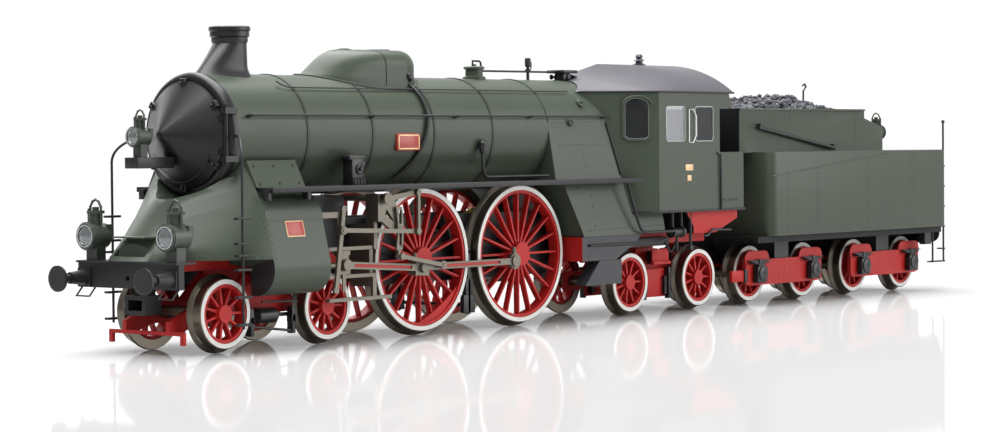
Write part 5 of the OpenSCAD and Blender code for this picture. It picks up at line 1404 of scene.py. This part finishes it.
@dataclass
class FrontEnd:
    """Rivets, steps and bare plates of the skirt and the cylinders.

    Attributes:
        skirt: Surface of the skirt.
        casing: Surface of the cylinder casings.
        step_z: Heights of the steps on a ladder pole.
        brackets: Positions of the brackets below a running board.
        plate: Middle of the bare plate on a cylinder casing, as x and z.
    """

    skirt: Skin
    casing: Skin
    step_z: tuple[float, ...] = (5.0, 9.4, 13.8, 16.1, 18.0, 22.0)
    brackets: Pair = (-98.4, -89.1)
    plate: Pair = (-92.6, 20.0)

    def _bare_plate(self, shape: Shape) -> None:
        """Adds a red plate on a cream one.

        Args:
            shape: The mesh that they go into.
        """
        place, normal = self.casing.beside(*self.plate)
        turn = Matrix.Translation(place) @ facing((0, 1, 0), normal)
        for half, height, depth, finish in ((2.1, 1.35, 0.12, PLATE_CREAM), (1.9, 1.15, 0.18, PLATE_RED)):
            shape.box((-half, -0.3, -height), (half, depth, height), finish, 0.05, turn)

    def build(self) -> list[bpy.types.Object]:
        """Makes the rivet lines, the steps and bare plates.

        Returns:
            The finished pieces.
        """
        rivets, steps, plates = Shape(), Shape(), Shape()
        with rivets.both_sides():
            for skin, start, end, pitch, radius, finish in (
                (self.skirt, (-113.5, 15.85), (-99.4, 15.85), 1.3, 0.2, GREEN),
                (self.skirt, (-99.5, 17), (-99.5, 25.4), 0.8, 0.15, GREEN),
                (self.casing, (-98.2, 10.6), (-98.2, 24.8), 0.8, 0.15, GREEN),
                (self.casing, (-97.8, 30.3), (-88.6, 30.3), 4.4, 0.28, BLACK),
                (self.casing, (-97.8, 27.5), (-88.6, 27.5), 4.4, 0.32, BLACK),
            ):
                rivets.studs(skin.row(start, end, pitch), radius, finish)
        with steps.both_sides():
            for z in self.step_z:
                steps.box((-106.3, 14.7, z - 0.2), (-103.2, 15.75, z + 0.2), GREY, 0.08)
            for x in self.brackets:
                steps.box((x - 0.4, 13.9, 24.7), (x + 0.4, 15.2, 26.35), BLACK, 0.15)
        with plates.both_sides():
            self._bare_plate(plates)
        return [
            rivets.finish("skirt_rivets", "engine"), steps.finish("ladder_steps", "engine"),
            plates.finish("cylinder_plates", "engine"),
        ]


@dataclass
class Cab:
    """Window frames, deflectors, plates and rails of the cab.

    Attributes:
        firebox: Surface of the firebox in front of the cab.
        windows: Front and rear edge of the side windows.
        window_z: Lower and upper edge of the side windows.
        wall_x: Where the slanting front wall would meet the middle line.
        slope: How far that wall runs to the rear for each millimetre of width.
        stretch: Width of its window on the wall for each millimetre of outline.
        front_y: Distance of its window from the middle.
    """

    firebox: Skin
    windows: tuple[Pair, ...] = ((9.64, 15.94), (19.34, 25.54))
    window_z: Pair = (33.7, 40.5)
    wall_x: float = -14.85
    slope: float = 1.353
    stretch: float = 1.68
    front_y: float = 13.72

    @staticmethod
    def _arc(centre: Pair, radius: float, degrees: Iterable[float]) -> list[Pair]:
        """Returns points of an arc.

        Args:
            centre: Middle of the arc.
            radius: Its radius.
            degrees: Angles of the points.
        """
        angles = [math.radians(value) for value in degrees]
        return [(centre[0] + radius * math.cos(a), centre[1] + radius * math.sin(a)) for a in angles]

    def _rounded(self, x0: float, x1: float, z0: float, z1: float, r: float) -> list[Pair]:
        """Returns a rectangle with round corners.

        Args:
            x0: Left edge.
            x1: Right edge.
            z0: Lower edge.
            z1: Upper edge.
            r: Corner radius.
        """
        corners = ((x1 - r, z1 - r), (x0 + r, z1 - r), (x0 + r, z0 + r), (x1 - r, z0 + r))
        points = []
        for number, corner in enumerate(corners):
            points += self._arc(corner, r, range(90 * number, 90 * number + 91, 18))
        return points

    def _arched(self, half: float, z0: float, z1: float) -> list[Pair]:
        """Returns an outline with a round top.

        Args:
            half: Half width.
            z0: Lower edge.
            z1: Top of the arch.
        """
        top = self._arc((0.0, z1 - half), half, range(0, 181, 15))
        return top + [(-half, z0 + 0.4), (-half + 0.4, z0), (half - 0.4, z0), (half, z0 + 0.4)]

    def _on_wall(self, x: float, z: float, h: float) -> Point:
        """Returns a point on the slanting front wall.

        Args:
            x: Distance along the wall from the middle of its window, in millimetres of outline.
            z: Height.
            h: Distance from the wall.
        """
        along = Vector((self.slope, 1.0, 0)).normalized()
        out = Vector((-1.0, self.slope, 0)).normalized()
        foot = Vector((self.wall_x + self.slope * self.front_y, self.front_y, z))
        return tuple(foot + along * x * self.stretch + out * (h - 0.05))

    def _frames(self, shape: Shape) -> None:
        """Adds the window frames and the wind deflector.

        Args:
            shape: The mesh that they go into.
        """
        wall = SHEET.cab_half_w - 0.1
        low, high = self.window_z
        for front, rear in self.windows:
            outline = self._rounded(front + 0.12, rear - 0.12, low + 0.12, high - 0.12, 0.62)
            shape.ring(outline, 0.16, lambda x, z, h: (x, wall + h, z), 0.16, WINDOW_EDGE)
        shape.ring(self._arched(1.36, 34.35, 42.0), 0.12, self._on_wall, 0.2, WINDOW_EDGE)
        shape.ring(self._arched(1.42, 34.25, 42.1), 0.4, self._on_wall, 0.3, GREEN)
        brow = self._arc((0.0, 40.66), 1.75, range(10, 171, 10))
        shape.tube([self._on_wall(x, z, 0.3) for x, z in brow], 0.26, GREEN)
        pane = [(17.2, 33.5), (17.2, 39.9), (18.3, 39.9), (19.25, 38.6), (19.25, 34.9), (18.3, 33.5)]
        shape.ring(pane, 0.12, lambda x, z, h: (x, 16.55 + h + (x - 17.2) * 0.08, z), 0.12, FRAME_WHITE)

    def _seam(self) -> list[Point]:
        """Returns points of the joint between the firebox and the slanting wall."""
        seam = []
        for i in range(11):
            hit = self.firebox.beside(-6.0, 37.4 - i)
            if hit:
                y = hit[0].y + 0.12
                seam.append((self.wall_x + self.slope * y - 0.1, y, hit[0].z))
        return seam

    def build(self) -> list[bpy.types.Object]:
        """Makes the fittings of both cab sides.

        Returns:
            The finished pieces.
        """
        shape = Shape()
        wall = SHEET.cab_half_w
        rail = [
            (26.7, 16.5, 31.3), (27.4, 16.7, 31.3), (27.7, 16.72, 31.0), (27.9, 16.72, 20.6),
            (27.9, 16.5, 20.2),
        ]
        gutter = [(-5.6, 6.9, 43.3), (7.3, 16.45, 43.3), (7.7, 16.55, 43.3), (32.6, 16.55, 43.25)]
        edge = [
            (0.4, 14.0, 25.6), (1.4, 14.3, 22.4), (3.0, 14.6, 18.2), (3.6, 14.6, 17.1), (4.6, 14.6, 16.5),
            (6.0, 14.6, 16.3), (15.0, 14.6, 16.3),
        ]
        with shape.both_sides():
            self._frames(shape)
            for front, bottom, rear, top in ((16.05, 28.0, 18.55, 29.2), (16.65, 26.0, 17.95, 27.1)):
                shape.box((front, wall - 0.1, bottom), (rear, wall + 0.1, top), PLATE_CREAM, 0.05)
            shape.tube(rail, 0.2, BLACK)
            shape.box((28.9, 16.0, 21.95), (33.9, 16.6, 22.25), BLACK, 0.08)
            shape.tube(gutter, 0.2, GREY)
            shape.tube(edge, 0.3, GREY)
            shape.tube(self._seam(), 0.22, GREY)
        return [shape.finish("cab_fittings", "engine")]


@dataclass
class Underside:
    """Injectors, pipes and the trailing bogie's plates below the cab.

    Attributes:
        ashpan: Surface of the ashpan.
        injector: Front end of an injector's axis.
        floor_z: Height of the cab floor's underside.
        pipe_z: Height of the pipe along the ashpan.
    """

    ashpan: Skin
    injector: Point = (14.6, 13.4, 16.0)
    floor_z: float = 19.9
    pipe_z: float = 14.3

    def build(self) -> list[bpy.types.Object]:
        """Makes the pieces below the cab on both sides.

        Returns:
            The finished pieces.
        """
        shape, plates = Shape(), Shape()
        with shape.both_sides():
            self._injector(shape)
            self._pipes(shape)
        with plates.both_sides():
            self._plates(plates)
        return [
            shape.finish("cab_underside", "engine"),
            plates.finish("trailing_bogie_plates", "trailing_bogie_frame_body"),
        ]

    def _injector(self, shape: Shape) -> None:
        """Adds an injector that hangs below the cab floor.

        Args:
            shape: The mesh that it goes into.
        """
        body = [
            (0, 0), (0.6, 0), (0.6, 0.5), (1.1, 0.5), (1.1, 1.0), (0.8, 1.2), (0.8, 3.6), (1.1, 3.8),
            (1.1, 4.4), (0.55, 4.6), (0.55, 5.2), (0, 5.2),
        ]
        shape.lathe(body, self.injector, (1, 0, 0), BLACK, 20)
        x, y, z = self.injector
        for along in (1.1, 4.1):
            shape.tube([(x + along, y, z + 0.4), (x + along, y, self.floor_z)], 0.32, BLACK)
        shape.tube([(17.2, y, 15.4), (17.2, y, 13.2), (17.5, y - 0.3, 12.5)], 0.28, BLACK)
        shape.tube([(20.4, 14.4, self.floor_z), (20.4, 14.4, 12.6)], 0.3, GREY)
        shape.box((19.9, 13.7, 12.4), (20.9, 14.8, 13.2), BLACK, 0.12)
        shape.box((9.0, 6.0, 13.1), (23.0, 7.4, 14.8), BLACK, 0.12)

    def _pipes(self, shape: Shape) -> None:
        """Adds the pipe along the ashpan and the one at the rear outrigger.

        Args:
            shape: The mesh that they go into.
        """
        run = []
        for x in (-11.4, -6.0, 0.0, 5.0):
            hit = self.ashpan.beside(x, self.pipe_z)
            if hit:
                run.append((x, hit[0].y + 0.26, self.pipe_z))
        run += [(x, run[-1][1], z) for x, z in ((10.6, 14.2), (12.4, 14.6), (13.3, 14.9))]
        run += [(14.0, 12.6, 14.5), (16.9, 12.0, 12.1), (17.4, 12.0, 12.2), (18.8, 12.0, 13.9)]
        shape.tube(run, 0.26, GREY)
        rear = [(24.4, 14.9, 15.0), (25.6, 14.9, 15.1), (27.4, 14.9, 16.2), (33.7, 14.9, 16.0)]
        shape.tube(rear, 0.22, SLATE)

    @staticmethod
    def _plates(shape: Shape) -> None:
        """Adds the side plate and brake hangers of the trailing bogie.

        Args:
            shape: The mesh that they go into.
        """
        for low, high, finish in (
            ((13.6, 6.4, 3.0), (22.9, 6.9, 8.6), RED), ((13.7, 6.9, 2.6), (14.5, 8.0, 8.8), BLACK),
            ((22.0, 6.9, 2.6), (22.8, 8.0, 8.8), BLACK), ((15.4, 8.4, 9.9), (20.9, 8.8, 12.6), RED),
            ((15.2, 8.3, 9.5), (21.1, 9.2, 10.1), RED), ((16.6, 6.4, 9.6), (19.6, 8.5, 12.2), BLACK),
        ):
            shape.box(low, high, finish, 0.1)


@dataclass
class Tender:
    """Rivets, springs, weld line and coal of the tender.

    Attributes:
        tank: Surface of the tank and bunker.
        coal: Surface of the coal heap.
        bogies: Surfaces of the two bogies by end.
        tank_columns: Rivet columns of the tank.
        bunker_columns: Rivet columns of the bunker.
        foot_z: Height of the lowest tank rivets.
        frame_y: Outer face of a bogie's frame.
        seed: Seed of the coal's dice.
        tries: How many lumps are thrown.
    """

    tank: Skin
    coal: Skin
    bogies: dict[End, Skin]
    tank_columns: tuple[float, ...] = (51.7, 62.6, 63.5, 72.5, 82.2, 83.2, 92.0, 101.1, 102.0)
    bunker_columns: tuple[float, ...] = (60.0, 74.5, 86.0)
    foot_z: float = 15.0
    frame_y: float = 11.84
    seed: int = 7
    tries: int = 2200

    def build(self) -> list[bpy.types.Object]:
        """Makes the tender's rivets, springs and coal.

        Returns:
            The finished pieces.
        """
        made = [self._tank_rivets()]
        for end, first in zip(End, SHEET.tender[::2]):
            name = f"tender_bogie_{end.value}"
            heads = Shape()
            with heads.both_sides():
                for k in range(5):
                    x = first + 5.9 + k * 2.1
                    # Flat dark red heads, painted shade of the rivets on the bogie plates.
                    heads.studs(self.bogies[end].row((x, 4.7), (x, 8.7), 0.8), 0.24, BOGIE_RIVET_SHADE, 0.12)
            made.append(heads.finish(f"{name}_rivets", f"{name}_body"))
            made.append(self._springs(first).finish(f"{name}_springs", f"{name}_body"))
        return made + [self._front_bar(), self._lumps()]

    def _tank_rivets(self) -> bpy.types.Object:
        """Makes the rivets and the weld line of the tank.

        Returns:
            The finished piece.
        """
        rivets = Shape()
        with rivets.both_sides():
            for x in self.tank_columns:
                top = min(30.6, 26.0 + (x - 44.5) * 0.095)
                rivets.studs(self.tank.row((x, self.foot_z), (x, top), 0.9), 0.18, GREEN, 0.5)
            for x in self.bunker_columns:
                rivets.studs(self.tank.row((x, 32.4), (x, 39.6), 0.9), 0.16, GREEN, 0.5)
            rivets.studs(self.tank.row((46, self.foot_z), (114.6, self.foot_z), 0.8), 0.12, GREEN, 0.4)
            rivets.tube([(45.6, 17.0, 26.5), (90.5, 17.0, 30.9)], 0.13, GREEN, 6)
        return rivets.finish("tank_rivets", "tender")

    @staticmethod
    def _front_bar() -> bpy.types.Object:
        """Makes the bars that lead the front bogie's frame.

        Returns:
            The finished piece.
        """
        bars = Shape()
        with bars.both_sides():
            bars.box((38.8, 11.05, 5.0), (44.0, 11.75, 7.3), RED, 0.12)
            bars.box((43.0, 10.95, 4.8), (43.9, 12.1, 7.5), BLACK, 0.1)
        return bars.finish("front_bogie_bars", "tender_bogie_front_body")

    def _springs(self, first: float) -> Shape:
        """Makes the leaf springs and axle box covers of a bogie.

        Args:
            first: Position of its first axle.

        Returns:
            The shape of all four.
        """
        springs = Shape()
        cover = [(1.5, -0.1), (1.5, 0.1), (1.1, 0.22), (0.4, 0.24), (0.3, 0.36), (0, 0.38)]
        y = self.frame_y
        with springs.both_sides():
            for x in (first, first + SHEET.tender[1] - SHEET.tender[0]):
                for leaf in range(5):
                    half = 3.9 - 0.66 * leaf
                    z = 9.1 - 0.17 * leaf
                    springs.box((x - half, y, z), (x + half, y + 0.81, z + 0.15), SLATE, 0.04)
                springs.box((x - 0.55, y, 8.25), (x + 0.55, y + 1.01, 9.4), BLACK, 0.08)
                springs.box((x - 1.75, y, 4.6), (x + 1.75, y + 1.41, 8.0), BLACK, 0.3)
                springs.lathe(cover, (x, y + 1.54, SHEET.carrier_z), (0, 1, 0), BLACK, 20)
        return springs

    def _lumps(self) -> bpy.types.Object:
        """Heaps broken coal over the CAD's coal solid.

        Returns:
            The finished piece.
        """
        dice = random.Random(self.seed)
        heap = bmesh.new()
        for _ in range(self.tries):
            x = dice.uniform(42.6, 82.0)
            y = dice.uniform(-11.0, 11.0)
            hit = self.coal.hit((x, y, FAR), (0, 0, -1))
            if not hit or hit[0].z < 39.0:
                continue
            size = dice.uniform(0.45, 0.95)
            angle = dice.uniform(0, 6.3)
            axis = Vector((dice.uniform(-1, 1), dice.uniform(-1, 1), dice.uniform(-1, 1) + 0.01))
            lump = bmesh.ops.create_icosphere(heap, subdivisions=1, radius=size)["verts"]
            for vert in lump:
                vert.co = vert.co * dice.uniform(0.6, 1.15)
                vert.co.z *= 0.75
            place = Matrix.Translation(hit[0] + Vector((0, 0, dice.uniform(-0.45, 0.0))))
            bmesh.ops.transform(heap, matrix=place @ Matrix.Rotation(angle, 4, axis), verts=lump)
        lumps = Shape()
        lumps.add(heap, COAL)
        return lumps.finish("coal_lumps", "tender", smooth=1.0)


@dataclass
class Studio:
    """Table, lights and camera.

    Attributes:
        eye: Camera position in millimetres.
        azimuth: Direction from the target to the camera, in degrees.
        elevation: Height of the camera above the horizon, in degrees.
        roll: Roll of the camera, in degrees.
        lens: Focal length for a sensor 36 mm wide.
        white: Strength at which the backdrop is white to the camera.
        ahead: Level direction of the white wall, behind the engine.
        table_half: Half width of the table, in metres.
        table_z: Height of the table, just below the wheels, in metres.
        table_fade: Distances between which the table fades into the backdrop, in metres.
        table_gloss: Share of the table's mirror-like part.
    """

    eye: Point = (-406.56, -314.06, 33.88)
    azimuth: float = -50.83
    elevation: float = 1.60
    roll: float = -0.481
    lens: float = 95.45
    white: float = 1.02
    ahead: Point = (0.775, 0.632, 0.0)
    table_half: float = 6.0
    table_z: float = -0.00002
    table_fade: Pair = (0.2, 0.5)
    table_gloss: float = 0.3

    def build(self) -> None:
        """Makes the stage."""
        bpy.context.scene.view_settings.view_transform = "Standard"
        self._camera()
        self._table()
        self._world()
        self._light("key", (0.42, -0.62, 0.25), (0.09, 0.0, 0.02), (0.7, 0.5), 4.6)
        self._light("top", (-0.05, 0.1, 0.9), (0.0, 0.0, 0.0), (1.5, 0.8), 32.0)
        self._light("fill", (-0.95, -0.4, 0.45), (-0.02, 0.0, 0.02), (0.6, 0.5), 0.9)
        self._light("rim", (0.3, 0.9, 0.55), (0.0, 0.0, 0.02), (0.9, 0.5), 3.0)

    def _camera(self) -> None:
        """Places the camera where the photograph was taken from."""
        a, e, r = (math.radians(v) for v in (self.azimuth, self.elevation, self.roll))
        back = Vector((math.sin(a) * math.cos(e), -math.cos(a) * math.cos(e), math.sin(e)))
        flat = Vector((math.cos(a), math.sin(a), 0))
        right = math.cos(r) * flat + math.sin(r) * back.cross(flat)
        up = back.cross(right)
        data = bpy.data.cameras.new("camera")
        data.lens = self.lens
        data.sensor_width = 36.0
        data.clip_start = 0.01
        data.clip_end = 50.0
        camera = bpy.data.objects.new("camera", data)
        bpy.context.scene.collection.objects.link(camera)
        turn = Matrix((right, up, back)).transposed().to_4x4()
        camera.matrix_world = Matrix.Translation(Vector(self.eye) * MM) @ turn
        bpy.context.scene.camera = camera

    def _table_material(self) -> bpy.types.Material:
        """Returns a white that fades into the backdrop away from the engine."""
        material = bpy.data.materials.new("table_white")
        material.use_nodes = True
        tree = material.node_tree
        tree.nodes.remove(tree.nodes["Principled BSDF"])
        rays = tree.nodes.new("ShaderNodeLightPath")
        camera = Signal(tree, rays.outputs["Is Camera Ray"])
        seen = camera + Signal(tree, rays.outputs["Is Glossy Ray"])
        lit, shown = (0.25, 0.25, 0.25, 1.0), (0.36, 0.36, 0.36, 1.0)
        tone = Signal.node(tree, "ShaderNodeMix", {0: seen, 6: lit, 7: shown}, 2, data_type="RGBA")
        paper = Signal.node(tree, "ShaderNodeBsdfDiffuse", {"Color": tone})
        gloss = Signal.node(tree, "ShaderNodeBsdfGlossy", {"Color": WHITE, "Roughness": 0.05})
        polished = Signal.node(tree, "ShaderNodeMixShader", {0: self.table_gloss, 1: paper, 2: gloss})
        position = Signal.node(tree, "ShaderNodeTexCoord", {}, "Object")
        far = Signal.node(tree, "ShaderNodeVectorMath", {0: position}, "Value", operation="LENGTH")
        fade = far.ramp(*self.table_fade, interpolation_type="SMOOTHSTEP")
        glow = Signal.node(tree, "ShaderNodeEmission", {"Color": WHITE, "Strength": self.white})
        mixed = Signal.node(tree, "ShaderNodeMixShader", {0: fade * camera, 1: polished, 2: glow})
        tree.links.new(mixed.socket, tree.nodes["Material Output"].inputs["Surface"])
        return material

    def _table(self) -> None:
        """Makes the plane that the engine stands on."""
        mesh = bmesh.new()
        bmesh.ops.create_grid(mesh, x_segments=1, y_segments=1, size=self.table_half)
        data = bpy.data.meshes.new("table")
        mesh.to_mesh(data)
        mesh.free()
        data.materials.append(self._table_material())
        table = bpy.data.objects.new("table", data)
        bpy.context.scene.collection.objects.link(table)
        table.location.z = self.table_z

    def _world(self) -> None:
        """Lights the scene from a soft sky with a white wall behind the engine."""
        world = bpy.data.worlds.new("studio")
        bpy.context.scene.world = world
        world.use_nodes = True
        tree = world.node_tree
        camera = Signal.node(tree, "ShaderNodeLightPath", {}, "Is Camera Ray")
        way = Signal.node(tree, "ShaderNodeTexCoord", {}, "Generated")
        height = Signal.node(tree, "ShaderNodeSeparateXYZ", {0: way}, "Z")
        both = {0: way, 1: self.ahead}
        along = Signal.node(tree, "ShaderNodeVectorMath", both, "Value", operation="DOT_PRODUCT")
        sky = height.ramp(-0.1, 0.9, 0.2, 0.58)
        wall = along.ramp(0.5, 0.75) * height.ramp(0.5, 0.2)
        strength = camera * self.white + (1.0 - camera) * (sky * (1.0 - wall) + self.white * wall)
        background = tree.nodes["Background"]
        background.inputs["Color"].default_value = WHITE
        tree.links.new(strength.socket, background.inputs["Strength"])

    def _light(self, name: str, place: Point, target: Point, size: Pair, power: float) -> None:
        """Adds a soft box.

        Args:
            name: Name of the lamp.
            place: Where it stands, in metres.
            target: The point that it faces.
            size: Width and height of the box.
            power: Its power in watts.
        """
        data = bpy.data.lights.new(name, "AREA")
        data.shape = "RECTANGLE"
        data.size, data.size_y = size
        data.energy = power
        lamp = bpy.data.objects.new(name, data)
        bpy.context.scene.collection.objects.link(lamp)
        lamp.visible_camera = False
        lamp.location = place
        lamp.rotation_euler = (Vector(target) - Vector(place)).to_track_quat("-Z", "Y").to_euler()


SOFTENED = (
    Softened("front_skirt", "engine", "green_paint", 0.12),
    Softened("cab_roof", "engine", "grey_paint", 0.1, 30.0),
    Softened("tender_tank", "tender", "green_paint", 0.15),
    Softened("running_boards", "engine", "grey_paint", 0.08),
)


def main() -> None:
    """Loads the frame, paints it, adds the fine pieces and sets the stage."""
    logging.basicConfig(level=logging.INFO)
    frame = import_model()
    nodes = frame["nodes"]
    shown = dict(nodes)
    for form in SOFTENED:
        shown[form.node] = form.build(nodes)
        LOG.info("%s stands for %s", shown[form.node].name, form.node)
    PaintShop(shown).run()
    bogies = {end: Skin(nodes, f"tender_bogie_{end.value}") for end in End}
    assemblies = (
        Lamps(), DoorFittings(), Chimney(), Dome(), Rails(), Brakes(), Fittings(),
        Boiler(Skin(nodes, "boiler_barrel", "firebox")),
        FrontEnd(Skin(nodes, "front_skirt"), Skin(nodes, "cylinder_casings")),
        Cab(Skin(nodes, "firebox")), Underside(Skin(nodes, "ashpan")),
        Tender(Skin(nodes, "tender_tank"), Skin(nodes, "coal_load"), bogies),
    )
    for assembly in assemblies:
        for piece in assembly.build():
            LOG.info("%s: %d faces", piece.name, len(piece.data.polygons))
    Studio().build()


if __name__ == "__main__":
    main()
